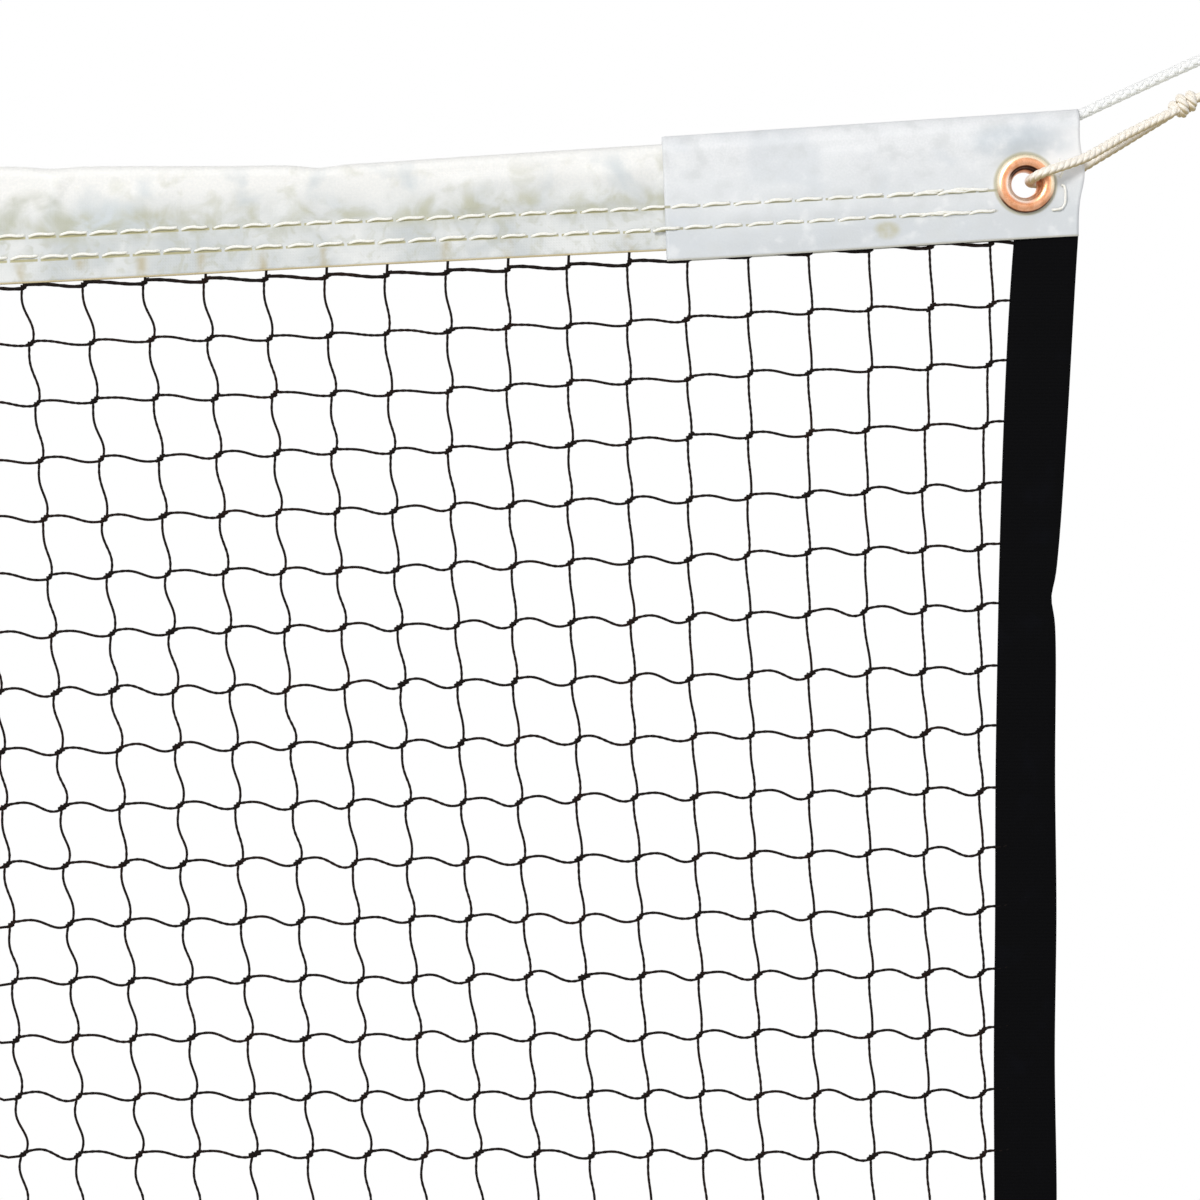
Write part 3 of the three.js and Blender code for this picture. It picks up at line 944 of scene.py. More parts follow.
def thick_sheet(shape, grid, lay, wall, keep):
    """A cloth of that wall from its middle surface, grid (rows, columns, 3). keep says which of the
    grid's faces there are; every free edge gets a rim."""
    rows, columns, _ = grid.shape
    index = np.arange(rows * columns).reshape(rows, columns)
    quads = np.stack([index[:-1, :-1], index[:-1, 1:], index[1:, 1:], index[1:, :-1]], -1)[keep]
    points = grid.reshape(-1, 3)
    corners = points[quads]
    across = np.cross(corners[:, 2] - corners[:, 0], corners[:, 3] - corners[:, 1])
    normal = np.zeros_like(points)
    for k in range(4):
        np.add.at(normal, quads[:, k], across)
    used, quads = np.unique(quads, return_inverse=True)
    quads = quads.reshape(-1, 4)
    count = len(used)
    half = unit(normal[used]) * wall / 2
    edges = np.concatenate([quads[:, [k, (k + 1) % 4]] for k in range(4)])
    low, high = np.sort(edges, axis=1).T
    _, first, seen = np.unique(low * count + high, return_index=True, return_counts=True)
    start, end = edges[first[seen == 1]].T
    rim = np.column_stack([end, start, start + count, end + count])
    both = np.concatenate([points[used] + half, points[used] - half])
    flat = lay.reshape(-1, 2)[used]
    shape.add(both, [quads, quads[:, ::-1] + count, rim], lay=np.concatenate([flat, flat]))


PATCH_DROP = HEM_DEPTH + PATCH_OVERHANG
HEADBAND_SECTION, HEADBAND_HEIGHT = fold_section(TAPE_FOLD_R, TAPE_PLY_Y, HEM_DEPTH, 0.3, 1.2)
PATCH_SECTION, PATCH_HEIGHT = fold_section(PATCH_FOLD_R, PATCH_PLY_Y, PATCH_DROP, 1.1, 1.0)
HEADBAND_HALF = float(HEADBAND_HEIGHT[0])
PATCH_HALF = float(PATCH_HEIGHT[0])


def headband_stations():
    """Places along the headband: fine near the ends, coarse between."""
    right = np.arange(NEAR_X, TAPE_END + 0.1, 1.35)
    left = -np.arange(NEAR_X, TAPE_END + 0.1, 2.6)[::-1]
    middle = np.linspace(-NEAR_X, NEAR_X, 520)[1:-1]
    return np.concatenate([left, middle, right, [TAPE_END]])


def slack(x, z, seed):
    """How far the headband's cloth stands off its line: soft folds under the rope, little puckers
    above the upper row of stitches, and a slight wave along the hem."""
    over_rows = fades((z + 22.5) / 7.0) * fades((-z - 1.0) / 6.0)
    broad = (clouds(x, z * 0.8, 27.0, seed) - 0.3) * 3.0
    small = (clouds(x + 0.8 * z, z, 9.0, seed + 1) - 0.5) * 1.2
    by_upper_row = fades((z + 21.0) / 2.0) * fades((-z - 12.0) / 5.0)
    pucker = (clouds(x, z * 0.4, 5.0, seed + 2) - 0.4) * by_upper_row
    hem = (clouds(x, z * 0.3, 12.0, seed + 3) - 0.5) * fades((-z - 21.5) / 6.0)
    return over_rows * (broad + small) + 0.9 * pucker + 0.7 * hem


def dents(x, z):
    """The dents pressed into the headband near its right end."""
    right_dent = 2.2 * bump_at(x, z, DENT_X + 12.0, -11.0, 7.5, 6.5)
    left_dent = 1.8 * bump_at(x, z, DENT_X - 4.0, -9.0, 5.0, 7.0)
    ridge = 1.5 * bump_at(x - 0.25 * z, z, DENT_X + 3.0, -7.0, 3.0, 9.0)
    nick = 0.9 * bump_at(x, z, NICK_X - 0.2, 0.0, 2.2, 8.0)
    fold = 0.8 * bump_at(x, z, 2902.0, -6.0, 9.0, 5.0)
    fold_foot = 0.7 * bump_at(x, z, 2888.0, -11.0, 10.0, 4.0)
    return right_dent + left_dent - ridge + nick - (fold - fold_foot)


def drawn_tight(x, z):
    """1 away from the rows of stitches and near 0 along them."""
    tight = 1.0
    for row in STITCH_ROWS:
        tight = tight * (1 - 0.85 * np.exp(-(((z - row_z(x, row)) / 1.6) ** 2)))
    return tight


def headband_stands_off(x, z, ply):
    """How far the headband's cloth stands off its line, on its front ply (-1) or rear ply (1)."""
    front = slack(x, z, 5) * 0.8 - np.where(x > NEAR_X, dents(x, z), 0)
    rear = slack(x + 400, z, 21) * 0.8
    free = fades((PATCH_START - np.abs(x)) / 10.0)
    off = np.where(ply < 0, front, rear) * free * drawn_tight(x, z)
    return np.maximum(off, 0.0) * fades(-z / 3.0 + 0.4)


def over_cloth(x, section, run, ply):
    """Each station's x and the section's y, z, run and ply, all over a cloth's grid."""
    across = (section[:, 0], section[:, 1], run, ply)
    return np.broadcast_arrays(x[:, None], *[values[None, :] for values in across])


def make_headband(finish):
    """The cloth folded over the head rope, with its dents, its sag and its two grommet holes."""
    stations = headband_stations()
    x, y, z, run, ply = over_cloth(stations, *folded_grid(HEADBAND_SECTION, HEADBAND_HEIGHT))
    crest = (clouds(x, 0 * x, 34.0, 9) - 0.5) * 0.9
    dips = 0.9 * bump_at(x, 0 * x, NICK_X, 0, 6.0, 1) + 0.7 * bump_at(x, 0 * x, DENT_X, 0, 7.0, 1)
    top = fades((z + 6.0) / 7.0) * (crest - dips)
    off = headband_stands_off(x, z, ply)
    sag = 0.9 * np.exp(-(((x - SAG_X) / 90.0) ** 2)) * np.clip(-z / HEM_DEPTH, 0, 1) ** 3
    grid = np.stack([x, y + ply * off, z + rise(x, z) + top - sag], axis=-1)
    keep = punched(grid)
    lay = np.stack([x, true_heights(x, run, HEADBAND_HALF)], -1)
    shape = Shape()
    thick_sheet(shape, grid, lay, TAPE_WALL, keep)
    piece = shape.build("headband_tape_cloth", finish)
    on_headband(piece, "headband_tape")


def punched(grid):
    """Which faces of a cloth are left once a hole is cut for each grommet's barrel. The points round
    each hole are drawn to a circle."""
    rows, columns, _ = grid.shape
    keep = np.ones((rows - 1, columns - 1), bool)
    quarters = [(a, b) for a in (slice(-1), slice(1, None)) for b in (slice(-1), slice(1, None))]
    for side, _ in SIDES:
        centre = grommet_centre(side)[[0, 2]]
        away = grid[..., [0, 2]] - centre
        far = np.linalg.norm(away, axis=-1)
        inside = far < PUNCHED_R
        cut = np.logical_or.reduce([inside[quarter] for quarter in quarters])
        keep &= ~cut
        move = np.zeros_like(inside)
        for quarter in quarters:
            move[quarter] |= cut
        move &= (far >= PUNCHED_R) & (far < PUNCHED_R + 1.2)
        grid[move, 0], grid[move, 2] = (centre + unit(away[move]) * (PUNCHED_R + 0.02)).T
    return keep


def patch_stands_off(x, z, lifted, side):
    """How far the patch's cloth stands off its line, on either ply."""
    seed = 40 + side
    centre = grommet_centre(side)
    around = np.hypot(x - GROMMET_X, lifted - centre[2])
    broad = (clouds(x, z, 24.0, seed) - 0.45) * 1.3
    soft = broad + (clouds(x + 0.6 * z, z, 8.0, seed + 1) - 0.5) * 0.45
    body = fades(-z / 6.0) * fades((z + PATCH_DROP) / 5.0)
    puff = 0.5 * bump_at(x, lifted, GROMMET_X - 2, centre[2] + 13.0, 12.0, 6.0)
    dish = puff - 0.9 * np.exp(-((around / 13.0) ** 2))
    hem = (clouds(x, z, 16.0, seed + 2) - 0.5) * 0.7 * fades((-z - 28.0) / 8.0)
    off = np.maximum((soft * body + hem) * drawn_tight(x, z) + dish, -0.35) + 0.1
    return off * fades((around - 8.5) / 3.0) * fades(-z / 4.0)


def patch_height(x, z):
    """Where the patch is once the posts lift it: its lower edge is tucked up towards the corner."""
    tucked = 1.6 * fades((x - PATCH_START) / PATCH_LENGTH) * np.clip(-z / HEM_DEPTH, 0, 1) ** 2
    return z + rise(x, z) + tucked


def make_patch(side, hand, finish):
    """The cloth folded over the headband's end, its end bowed and its start a little aslant."""
    stations = np.linspace(PATCH_START, HALF_LENGTH, 126)
    x, y, z, run, ply = over_cloth(stations, *folded_grid(PATCH_SECTION, PATCH_HEIGHT))
    end = fades((x - (HALF_LENGTH - 22.0)) / 22.0)
    start = fades((PATCH_START + 22.0 - x) / 22.0)
    lifted = patch_height(x, z)
    bow = 1.9 * np.exp(-(((lifted - 1.0) / 7.5) ** 2)) - 1.0
    out = x + end * bow - start * 0.043 * lifted
    off = patch_stands_off(x, z, lifted, side)
    grid = np.stack([side * out, y + ply * off, lifted], axis=-1)
    lay = np.stack([side * x, true_heights(x, run, PATCH_HALF)], -1)
    keep = punched(grid)
    if side < 0:
        grid, lay, keep = grid[::-1], lay[::-1], keep[::-1]
    shape = Shape()
    thick_sheet(shape, grid, lay, PATCH_WALL, keep)
    piece = shape.build(f"corner_patch_cloth_{hand}", finish)
    on_headband(piece, f"corner_patch_{hand}")


LATHE_SIDES = 96


def lathe(shape, profile, centre):
    """A ring about Y from a closed profile of (radius, y). Its lay is measured from its centre."""
    radius, depth = np.asarray(profile, float).T[..., None]
    angle = round_angles(LATHE_SIDES)
    x = radius * np.cos(angle)
    z = radius * np.sin(angle)
    y = np.broadcast_to(depth, x.shape)
    number = len(profile)
    ring, side = np.meshgrid(np.arange(number), np.arange(LATHE_SIDES), indexing="ij")
    here = ring * LATHE_SIDES
    ahead = (ring + 1) % number * LATHE_SIDES
    turn = (side + 1) % LATHE_SIDES
    quads = np.stack([here + side, ahead + side, ahead + turn, here + turn], -1)
    shape.add(np.stack([x, y, z], -1) + centre, [quads.reshape(-1, 4)], lay=np.stack([x, z], -1))


GROMMET_SEAT = -2.3  # the front of the cloth it is pressed on
THROAT = [[4.9, -2.35], [5.0, -2.0], [4.75, -1.6], [4.4, -1.1], [4.15, -0.3], [4.05, 0.8], [4.05, 2.4]]
BARREL = [[5.9, 3.25], [4.75, 3.2], [4.7, 0.0], [5.3, GROMMET_SEAT + 0.15]]
WASHER = [
    [5.0, 2.25], [9.0, 2.25], [9.15, 2.4], [9.1, 2.75], [8.7, 3.05], [7.0, 3.2], [5.6, 3.1], [5.0, 2.8],
]


def eyelet_profile():
    """Domed flange that rolls into the throat, then the curl behind and the barrel's outside."""
    dome = np.linspace(-0.15 * np.pi, 1.06 * np.pi, 26)
    crown = (GROMMET_RIM_R - GROMMET_BARREL_R) / 2
    out = GROMMET_BARREL_R + crown + crown * np.cos(dome)
    flange = np.column_stack([out, GROMMET_SEAT - 0.25 - 1.45 * np.sin(dome)])
    turn = np.linspace(np.pi, 0.0, 9)
    curl = np.column_stack([5.2 + 1.1 * np.cos(turn), 3.1 + 1.0 * np.sin(turn)])
    return np.concatenate([flange, THROAT, curl, BARREL])


def make_grommet(side, hand, finish):
    """The eyelet and its washer behind the cloth."""
    for part, profile in (("eyelet", eyelet_profile()), ("washer", WASHER)):
        shape = Shape()
        lathe(shape, profile, grommet_centre(side))
        piece = shape.build(f"grommet_{part}_brass_{hand}", finish)
        on_headband(piece, f"grommet_{part}_{hand}")


# ---------------------------------------------------------------- stitches


def stitch_template(sides, rings):
    """One stitch, along X from 0 to 1 length: out of the cloth, along it, and back in."""
    t = np.linspace(0, 1, rings)
    x = (t - 0.5) * STITCH_LENGTH
    y = -0.34 + 0.75 * np.abs(2 * t - 1) ** 5
    z = 0.26 * np.sin(2 * np.pi * (t - 0.1)) + (t - 0.5) * 0.8
    line = np.stack([x, y, z], axis=1)
    size = THREAD_R * (0.75 + 0.25 * np.sqrt(np.sin(np.pi * np.clip(t, 0.03, 0.97))))
    shape = Shape()
    add_tube(shape, line, size, sides)
    return as_template(shape)


def stitch_places(side_y, row, offset):
    """Where a row's stitches go on one face of the net, and how each leans. Each end of a row is
    sewn back over itself."""
    rng = np.random.default_rng(int(row * 10) + (7 if side_y > 0 else 0))
    x = np.arange(-GROMMET_X + ROW_START + offset, GROMMET_X - ROW_START, STITCH_PITCH)
    back = np.arange(GROMMET_X - 31.0, GROMMET_X - 14.0, STITCH_PITCH * 0.8) + offset * 0.5
    x = np.concatenate([x, back, -back])
    drop = np.concatenate([np.zeros(len(x) - 2 * len(back)), np.full(2 * len(back), 0.45)])
    x = x + rng.uniform(-0.35, 0.35, len(x))
    z = row_z(x, row) - drop + rng.uniform(-0.2, 0.2, len(x))
    on_patch = np.abs(x) > PATCH_START + 1.0
    side = np.where(x > 0, 1, -1)
    lifted = np.where(on_patch, patch_height(np.abs(x), z), z + rise(x, z))
    off_patch = np.where(side > 0, *[patch_stands_off(np.abs(x), z, lifted, k) for k in (1, -1)])
    patch_y = PATCH_PLY_Y + off_patch + 0.5
    band_y = TAPE_PLY_Y + headband_stands_off(x, z, side_y + 0 * x) + 0.4
    y = side_y * np.where(on_patch, patch_y, band_y)
    slope = (rise(x + 1, z) - rise(x - 1, z)) / 2
    places = np.stack([x, y, lifted], axis=1)
    return places, np.arctan(slope) + rng.uniform(-0.035, 0.035, len(x)), rng


def make_stitches(finish):
    """Both rows of stitches on both faces, finest near the right-hand corner."""
    fine = stitch_template(9, 15)
    plain = stitch_template(5, 6)
    for side_y, face in ((-1, "front"), (1, "rear")):
        shape = Shape()
        for number, row in enumerate(STITCH_ROWS):
            places, turns, rng = stitch_places(side_y, row, number * ROW_STAGGER * STITCH_PITCH)
            size = rng.uniform(0.93, 1.05, len(places))
            near = places[:, 0] > NEAR_X - 40
            for template, chosen in ((fine, near), (plain, ~near)):
                points = template[0] * (1, -side_y, 1)
                faces = [f[:, ::-1] for f in template[1]] if side_y > 0 else template[1]
                copies(shape, (points, faces), places[chosen], turns[chosen], size[chosen])
        piece = shape.build(f"stitches_{face}", finish)
        on_headband(piece)


def make_corner_thread(side, hand, finish):
    """Where the two rows end beside the grommet: the thread turns up between them, and its tail
    stands free."""
    upper = -HEM_DEPTH + STITCH_ROWS[0]
    lower = -HEM_DEPTH + STITCH_ROWS[1]
    face = -(PATCH_PLY_Y + 0.55)
    along_lower = [
        [-9.4, 0, lower], [-8.4, -0.2, lower], [-6.5, -0.2, lower + 0.3], [-5.4, 0, lower + 1.6],
    ]
    upright = [
        [-5.4, 0, lower + 1.4], [-5.2, -0.25, lower + 3.2], [-5.6, -0.2, upper + 0.6],
        [-6.4, 0, upper + 1.0],
    ]
    tail = [
        [-6.8, 0, upper + 3.6], [-6.2, -1.2, upper + 5.2], [-6.6, -2.0, upper + 7.4],
        [-7.4, -1.6, upper + 9.4],
    ]
    shape = Shape()
    for points, start, end in ((along_lower, 0.8, 0.8), (upright, 0.75, 0.75), (tail, 0.75, 0.5)):
        places = []
        for past_end, y, z in points:
            x = HALF_LENGTH + past_end
            places.append([side * x, face + y, z + float(rise(x, z))])
        line = through(places, 0.3)
        add_tube(shape, line, THREAD_R * np.linspace(start, end, len(line)), 9)
    piece = shape.build(f"corner_thread_{hand}", finish)
    on_headband(piece)


# ---------------------------------------------------------------- netting


def gathered(x, depth):
    """How far the netting is drawn sideways at x, that share of the way down to where it hangs free."""
    right = NET_REACH - x
    left = NET_REACH + x
    at_corner = 1 - 0.22 * np.exp(-((right / 170.0) ** 2))
    near_right = 0.066 * right / (1 + (right / 500.0) ** 4) * at_corner
    near_left = 0.045 * left / (1 + (left / 420.0) ** 4)
    start = 0.72 + 1.2 * np.exp(-((right / 190.0) ** 4))
    middle = fades((right - 600) / 500) * fades((left - 600) / 500) * 5.0 * np.sin(x / 230.0 + 0.6)
    free = np.minimum(depth, 1.0)
    draw = near_right * free**start + (middle - near_left) * free**0.72
    close_up = 0.0055 * right / (1 + (right / 800.0) ** 4)
    to_tape = 3.6 * np.exp(-right / 45.0) - 2.6 * np.exp(-left / 45.0)
    down = fades((depth - 0.05) / 0.28) * (1 - 0.25 * fades((depth - 0.45) / 0.6))
    return draw + close_up - to_tape * down


FREE_ROW = 15  # where the netting's meshes stop being drawn in
KNOT_STRAY = 0.28


def knots():
    """The middle of every knot, (columns, rows, 3)."""
    rng = np.random.default_rng(11)
    i, j = np.meshgrid(np.arange(COLUMNS + 1), np.arange(ROWS + 1), indexing="ij")
    x = -NET_REACH + i * MESH_W
    z = SELVEDGE_Z - j * MESH_H
    depth = (SELVEDGE_Z - z) / (FREE_ROW * MESH_H)
    inside = fades(np.minimum(i, COLUMNS - i) / 2.0) * 0.8 + 0.2
    shift = gathered(x, depth) + rng.normal(0, KNOT_STRAY, x.shape) * inside * (j > 0)
    wobble = rng.normal(0, KNOT_STRAY, x.shape) * (j > 0)
    billow = np.sin(x / 410.0 + 1.3) * np.sin(-z / 190.0)
    billow = billow + 0.4 * np.sin(x / 97.0) * np.sin(-z / 140.0 + 0.4)
    held = fades((NET_REACH - np.abs(x)) / 160.0) * fades(depth * 2.0)
    steps = ((-1.6, 2730.0, 120.0), (0.7, 2915.0, 20.0), (0.2, 2960.0, 40.0))
    sewn = sum(height * fades((x - start) / length) for height, start, length in steps)
    up = net_rise(x, z) + wobble + sewn * (1 - np.minimum(depth, 1))
    return np.stack([x + shift, 2.2 * billow * held, z + up], axis=-1)


def strands(a, b, segments, kind, swell, seed):
    """Twine from knots a to knots b, each (number, 3). A level strand leaves its knot high, sags and
    climbs into the next; an upright one bows left under its knot and comes in from the right."""
    rng = np.random.default_rng(seed)
    t = np.linspace(0, 1, segments + 1)[None]
    number = len(a)
    size = rng.uniform(0.7, 1.3, (number, 1)) * np.reshape(swell, (-1, 1))
    late = t ** rng.uniform(0.95, 1.35, (number, 1))
    bend = np.sin(2 * np.pi * late)
    line = a[:, None] + (b - a)[:, None] * t[..., None]
    if kind == "level":
        line[..., 2] += 0.62 * (1 - 2 * t) + 0.95 * bend * size
    else:
        line[..., 0] -= 0.55 * (1 - 2 * t) + 0.8 * bend * size
    return line


def fine_knot():
    """A sheet bend drawn tight: a slanting core with two wraps round it."""
    shape = Shape()
    core = through([[-1.7, 0, -0.75], [-0.7, 0.1, -0.4], [0.7, -0.1, 0.4], [1.7, 0, 0.75]], 0.45)
    waist = TWINE_R * (0.95 + 0.7 * np.sin(np.pi * np.linspace(0, 1, len(core))))
    add_tube(shape, core, waist, 7)
    for shift, tilt in ((-0.4, 0.3), (0.4, -0.25)):
        t = np.linspace(0, 2 * np.pi, 13)
        around = 0.68 * np.cos(t)
        lean = 0.5 + tilt
        x = shift * 0.88 - math.sin(lean) * around
        z = shift * 0.45 + math.cos(lean) * around
        ring = np.stack([x, 0.6 * np.sin(t), z], axis=1)
        add_tube(shape, ring, TWINE_R * 0.85, 6)
    return as_template(shape)


def plain_knot():
    """The same knot far from the corner: a short slanting lump."""
    shape = Shape()
    core = np.array([[-1.6, 0, -0.8], [0, 0, 0], [1.6, 0, 0.8]])
    add_tube(shape, core, np.array([0.35, 1.0, 0.35]), 4)
    return as_template(shape)


def swell_at(rows_down):
    """The level twine's slackness: the top rows are drawn straighter."""
    return 0.35 + 0.65 * fades(rows_down / 7.0)


def drop_swell_at(x, rows_down):
    """The upright twine's slackness: it hangs straighter near the side tapes."""
    return 0.15 + 0.8 * fades((NET_REACH - np.abs(x) - 40.0) / 260.0) + 0.25 * fades(rows_down / 18.0)


TWINE_TWIST = 4.4  # for one turn of its two yarns
SELVEDGE_TWIST = 5.0


def netting_piece(name, places, columns, rows, fine, finish, foot):
    """Knots and twine for a block of meshes: columns and rows are (first, last) knots. Level twine
    runs right from each knot and upright twine runs down, to the foot tape where foot is true."""
    shape = Shape()
    first, last = columns
    top, bottom = rows
    segments, sides = (18, 8) if fine else (4, 4)
    twist = TWINE_TWIST if fine else None
    block = places[first:last]
    seed = first * 100 + top
    level_rows = np.arange(max(top, 1), bottom)
    ends = places[first + 1 : last + 1]
    a = block[: len(ends), level_rows].reshape(-1, 3)
    b = ends[:, level_rows].reshape(-1, 3)
    depth = np.broadcast_to(level_rows, (len(ends), len(level_rows))).ravel()
    many_tubes(shape, strands(a, b, segments, "level", swell_at(depth), seed), TWINE_R, sides, twist)
    down = np.arange(top, min(bottom, ROWS))
    a = block[:, down].reshape(-1, 3)
    b = block[:, down + 1].reshape(-1, 3)
    depth = np.broadcast_to(down, (len(block), len(down))).ravel()
    lines = strands(a, b, segments, "upright", drop_swell_at(a[:, 0], depth), seed + 1)
    many_tubes(shape, lines, TWINE_R * 0.95, sides, twist)
    rng = np.random.default_rng(seed + 2)
    every = block[:, top:bottom].reshape(-1, 3)
    turns = rng.normal(0.08, 0.16, len(every))
    sizes = rng.uniform(0.85, 1.08, len(every))
    copies(shape, fine_knot() if fine else plain_knot(), every, turns, sizes)
    if foot:
        a = block[:, ROWS]
        b = a * (1, 1, 0) + (0, 0, FOOT_Z + FOOT_TAPE_W - 2.0)
        many_tubes(shape, strands(a, b, segments, "upright", 0.5, seed + 3), TWINE_R, sides, twist)
    for edge, outward in ((0, -1), (COLUMNS, 1)):
        if first <= edge < last:
            a = places[edge, level_rows]
            b = a + (outward * 8.0, 0.0, 2.4)
            lines = strands(a, b, segments, "level", 0.2, seed + 4)
            many_tubes(shape, lines if outward > 0 else lines[:, ::-1], TWINE_R, sides, twist)
    return shape.build(name, finish)


def make_netting(finish):
    """The netting's two halves, each in blocks of columns from one side to the other."""
    places = knots()
    right = COLUMNS + 1
    for name, columns, fine in (
        ("corner_a", (309, right), True),
        ("corner_b", (300, 309), True),
        ("c", (200, 300), False),
        ("d", (100, 200), False),
        ("e", (0, 100), False),
    ):
        name = f"netting_upper_{name}"
        piece = netting_piece(name, places, columns, (0, FOLD_ROW), fine, finish, False)
        hang(piece, "netting_upper", SWING_BEND)
    for letter, columns in zip("abcd", ((0, 80), (80, 160), (160, 240), (240, right))):
        name = f"netting_lower_{letter}"
        piece = netting_piece(name, places, columns, (FOLD_ROW, ROWS + 1), False, finish, True)
        hang(piece, "netting_lower", FOLD_BEND)
    make_selvedge(places, finish)


def make_selvedge(places, finish):
    """The thicker twine along the netting's top, and the short lengths that hold it to the hem."""
    shape = Shape()
    top = places[:, 0]
    near = top[:-1, 0] > NEAR_X
    for chosen, segments, sides, twist in ((near, 12, 9, SELVEDGE_TWIST), (~near, 3, 5, None)):
        lines = strands(top[:-1][chosen], top[1:][chosen], segments, "level", 0.25, 77)
        many_tubes(shape, lines, SELVEDGE_R, sides, twist)
    hem = -HEM_DEPTH + rise(top[:, 0], -HEM_DEPTH) + 1.2
    up = np.stack([top[:, 0] + 0.2, 0 * hem, hem], axis=1)
    many_tubes(shape, np.stack([top, (top + up) / 2, up], axis=1), TWINE_R * 1.05, 6)
    for edge, outward in ((0, -1), (COLUMNS, 1)):
        a = top[edge : edge + 1]
        b = a + (outward * 11.0, 0.0, 0.3)
        line = strands(a, b, 6, "level", 0.1, 79)
        many_tubes(shape, line if outward > 0 else line[:, ::-1], SELVEDGE_R, 8)
    piece = shape.build("top_selvedge_twine", finish)
    on_headband(piece, "top_selvedge_cord")


# ---------------------------------------------------------------- tapes


def folded_section(plies, ply, points_across):
    """A tape folded lengthwise, as (share across, y) all round its cloth's outside and back round its
    inside. The fold is at share 1 and both cut edges are at share 0."""
    t = np.linspace(0, 1, points_across)
    half = (plies - ply) / 2
    open_edge = 1 - 0.35 * (1 - t) ** 6
    angle = np.linspace(-np.pi / 2, np.pi / 2, 7)[1:-1]
    tip = half / SIDE_TAPE_W

    def path(off):
        flat = np.column_stack([t * (1 - tip), -(half * open_edge + off)])
        turn = half + off
        fold = np.column_stack([1 - tip + turn / SIDE_TAPE_W * np.cos(angle), turn * np.sin(angle)])
        return np.concatenate([flat, fold, flat[::-1] * (1, -1)])

    return np.concatenate([path(ply / 2), path(-ply / 2)[::-1]])


def folded_tape(name, cut, fold, lay_along, finish):
    """A tape folded over the netting's edge: its cut edges follow one line and its fold the other."""
    section = folded_section(SIDE_TAPE_T, SIDE_TAPE_PLY, 11)
    share = section[None, :, 0, None]
    rings = cut[:, None] * (1 - share) + fold[:, None] * share
    rings[..., 1] += section[None, :, 1]
    sides = len(section)
    side = np.sign(section[:, 1]) * (SIDE_TAPE_W + 2) * (1 - section[:, 0])
    lay = np.stack(np.broadcast_arrays(side[None, :], lay_along[:, None]), -1)
    k = np.arange(sides // 2 - 1)
    first = np.stack([k, k + 1, sides - 2 - k, sides - 1 - k], -1)
    last = first[:, ::-1] + (len(cut) - 1) * sides
    shape = Shape()
    shape.add(rings, [ring_quads(len(cut), sides), first, last], lay=lay)
    return shape.build(name, finish)


PATCH_EDGE_Z = float(rise(SIDE_OUTER_X, -HEM_DEPTH)) - PATCH_DROP  # over the side tape


def side_tape_edges(z, side):
    """The side tape's two edges at heights z: out at the top towards the corner, plumb below."""
    below = PATCH_EDGE_Z + 1.0 - z
    inner = SIDE_INNER_X + 0.2 + 6.4 * np.exp(-below / 78.0)
    outer = SIDE_OUTER_X + 6.9 * np.maximum(1 - below / 112.0, 0) ** 1.08
    pinch = 1.0 * np.exp(-(((z + 132.0) / 5.0) ** 2)) + 0.5 * np.exp(-(((z + 131.0) / 14.0) ** 2))
    free = fades(below / 60.0)
    waver = (clouds(z, 0 * z, 46.0, 60 + side) - 0.5) * 0.9 * free
    wave_y = (clouds(z, 0 * z, 70.0, 70 + side) - 0.5) * 2.0 * free * fades((z - FOOT_Z - 20) / 60.0)
    outer = outer + waver - pinch
    inner = inner + waver * 0.4
    return (
        np.stack([side * inner, wave_y * 0.4, z], axis=1),
        np.stack([side * outer, wave_y, z], axis=1),
    )


def make_side_tape(side, hand, finish):
    """The tape down one side, in two lengths that meet where the netting folds."""
    top = PATCH_EDGE_Z + 3.0
    join = SELVEDGE_Z - FOLD_ROW * MESH_H
    foot = FOOT_Z + FOOT_TAPE_W - 0.5
    for part, high, low, above, below, bend in (
        ("upper", top, join, "headband", "upper_netting", SWING_BEND),
        ("lower", join, foot, "upper_netting", "lower_netting", FOLD_BEND),
    ):
        z = np.linspace(high, low, max(2, round((high - low) / 2.4)))
        inner, outer = side_tape_edges(z, side)
        piece = folded_tape(f"side_tape_{part}_webbing_{hand}", inner, outer, z, finish)
        hang(piece, f"side_tape_{part}_{hand}", bend)
        flat = (2 * SIDE_TAPE_W * MM, (high - low) * MM)


def make_foot_tape(finish):
    """The tape along the foot, folded up over the netting's last knots."""
    x = np.linspace(-SIDE_OUTER_X, SIDE_OUTER_X, 900)
    wave_y = (clouds(x, 0 * x, 90.0, 81) - 0.5) * 2.4
    low = np.stack([x, wave_y, FOOT_Z + 0.2 + 0.5 * clouds(x, 0 * x, 60.0, 82)], axis=1)
    width = FOOT_TAPE_W - 0.6
    high = low * (1, 0.5, 1) + (0, 0, width)
    piece = folded_tape("foot_tape_webbing", high, low, x, finish)
    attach(piece, "lower_netting")
    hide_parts("foot_tape")


# ---------------------------------------------------------------- camera, light and floor


VIEW_WIDTH = 0.3762  # in metres, as the rest of this part
VIEW_MIDDLE = (2.8992, -0.1327)
CORNER = (2.95, 0.0, -0.05)
NET_MIDDLE = (0.0, 0.0, -0.4)
FLOOR_HEIGHT = -1.524
FLOOR_REACH = (8.0, 5.0)


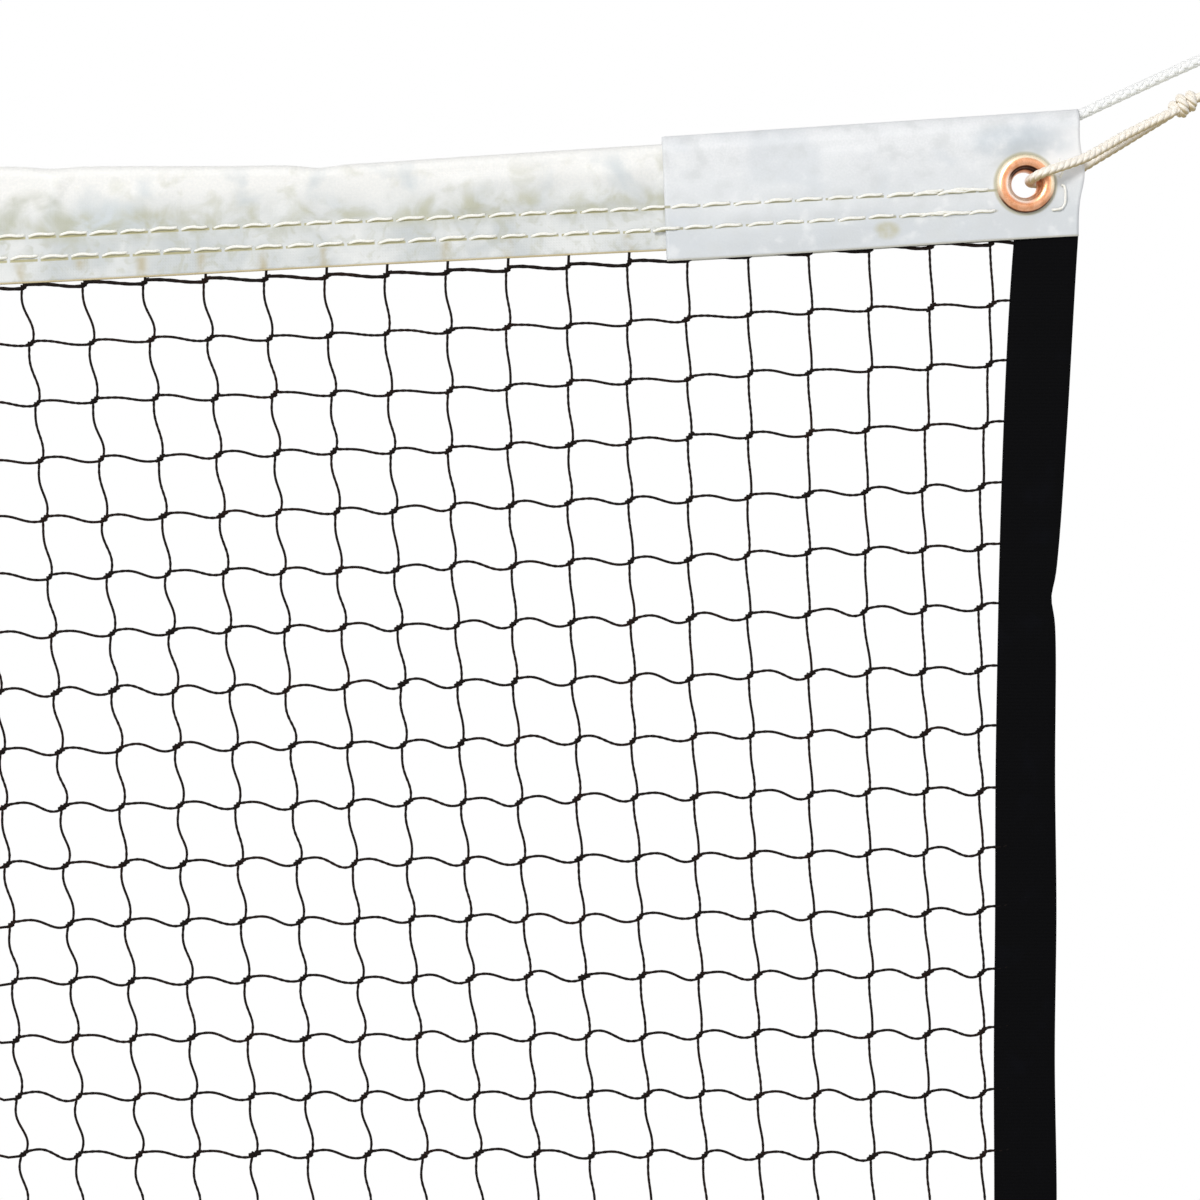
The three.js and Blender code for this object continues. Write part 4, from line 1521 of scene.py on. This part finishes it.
def make_camera():
    """Square on to the net's right-hand corner, a metre off."""
    distance = 1.0
    data = bpy.data.cameras.new("camera")
    data.sensor_width = 36.0
    data.lens = data.sensor_width * distance / VIEW_WIDTH
    data.clip_end = 100.0
    camera = bpy.data.objects.new("camera", data)
    camera.location = (VIEW_MIDDLE[0], -distance, VIEW_MIDDLE[1])
    camera.rotation_euler = (math.pi / 2, 0, 0)
    bpy.context.scene.collection.objects.link(camera)
    bpy.context.scene.camera = camera


def make_light(name, place, target, size, power, colour):
    """A round soft light at a place, turned to its target."""
    data = bpy.data.lights.new(name, "AREA")
    data.shape = "DISK"
    data.size = size
    data.energy = power
    data.color = colour
    light = bpy.data.objects.new(name, data)
    light.location = place
    light.rotation_euler = (Vector(target) - Vector(place)).to_track_quat("-Z", "Y").to_euler()
    bpy.context.scene.collection.objects.link(light)


def make_studio():
    """A white backdrop, which shines dimmer on the net than it looks, and four soft lights."""
    world = bpy.data.worlds.new("studio")
    bpy.context.scene.world = world
    world.use_nodes = True
    nodes, links = world.node_tree.nodes, world.node_tree.links
    nodes.clear()
    choose = nodes.new("ShaderNodeMixShader")
    for number, colour, strength in ((1, (0.95, 0.97, 1.0, 1.0), 0.3), (2, (1.0, 1.0, 1.0, 1.0), 1.0)):
        shine = nodes.new("ShaderNodeBackground")
        shine.inputs["Color"].default_value = colour
        shine.inputs["Strength"].default_value = strength
        links.new(shine.outputs[0], choose.inputs[number])
    ray = nodes.new("ShaderNodeLightPath")
    seen = nodes.new("ShaderNodeMath")
    seen.operation = "MAXIMUM"
    links.new(ray.outputs["Is Camera Ray"], seen.inputs[0])
    links.new(ray.outputs["Is Glossy Ray"], seen.inputs[1])
    links.new(seen.outputs[0], choose.inputs[0])
    links.new(choose.outputs[0], nodes.new("ShaderNodeOutputWorld").inputs[0])
    make_light("key", (1.6, -2.6, 1.4), CORNER, 1.0, 56.0, (1.0, 0.985, 0.96))
    make_light("fill", (4.2, -1.9, 0.4), CORNER, 1.2, 5.0, (0.95, 0.97, 1.0))
    make_light("whole_net_front", (0.0, -5.0, 2.5), NET_MIDDLE, 5.0, 70.0, (1.0, 1.0, 1.0))
    make_light("whole_net_rear", (0.0, 5.0, 1.5), NET_MIDDLE, 5.0, 140.0, (1.0, 1.0, 1.0))
    bpy.context.scene.view_settings.view_transform = "Standard"


def make_floor():
    """A pale floor, as far under the net as a hall's floor is."""
    x, y = FLOOR_REACH
    corners = [(-x, -y, FLOOR_HEIGHT), (x, -y, FLOOR_HEIGHT), (x, y, FLOOR_HEIGHT), (-x, y, FLOOR_HEIGHT)]
    mesh = bpy.data.meshes.new("floor")
    mesh.from_pydata(corners, [], [(0, 1, 2, 3)])
    finish = Finish("pale_floor", Roughness=0.95, Specular_IOR_Level=0.1)
    speck = finish.noise(finish.place(), 400.0, 3.0)
    finish.set(Emission_Color=(1.0, 1.0, 0.99), Emission_Strength=0.42)
    mesh.materials.append(finish.set(Base_Color=finish.coats("bcbcba", (speck, "c2c2c0"))))
    floor = bpy.data.objects.new("floor", mesh)
    bpy.context.scene.collection.objects.link(floor)


# ---------------------------------------------------------------- the net


def main():
    make_camera()
    # both ropes get painted shade in their creases and underneath
    white_rope = rope_finish(
        "white_braid",
        high="fbfbf9",
        mid="eff0f1",
        crease="98a3b0",
        crease_shade_at=(0.99, 0.84),
        under="b9bd9f",
        underside_shade_share=0.35,
    )
    cream_rope = rope_finish(
        "cream_twist",
        high="fffaf2",
        mid="f1e8da",
        crease="b9a587",
        crease_shade_at=(0.84, 0.62),
        under="a8935c",
        underside_shade_share=0.9,
    )
    for side, hand in SIDES:
        make_head_rope(side, hand, white_rope)
        make_tie_rope(side, hand, cream_rope)
    make_hidden_rope(white_rope)
    make_headband(headband_cloth())
    patch = patch_cloth()
    brass = grommet_finish()
    thread = thread_finish()
    for side, hand in SIDES:
        make_patch(side, hand, patch)
        make_grommet(side, hand, brass)
        make_corner_thread(side, hand, thread)
    make_stitches(thread)
    make_netting(twine_finish())
    webbing = binding_finish()
    for side, hand in SIDES:
        make_side_tape(side, hand, webbing)
    make_foot_tape(webbing)
    make_studio()
    make_floor()


main()
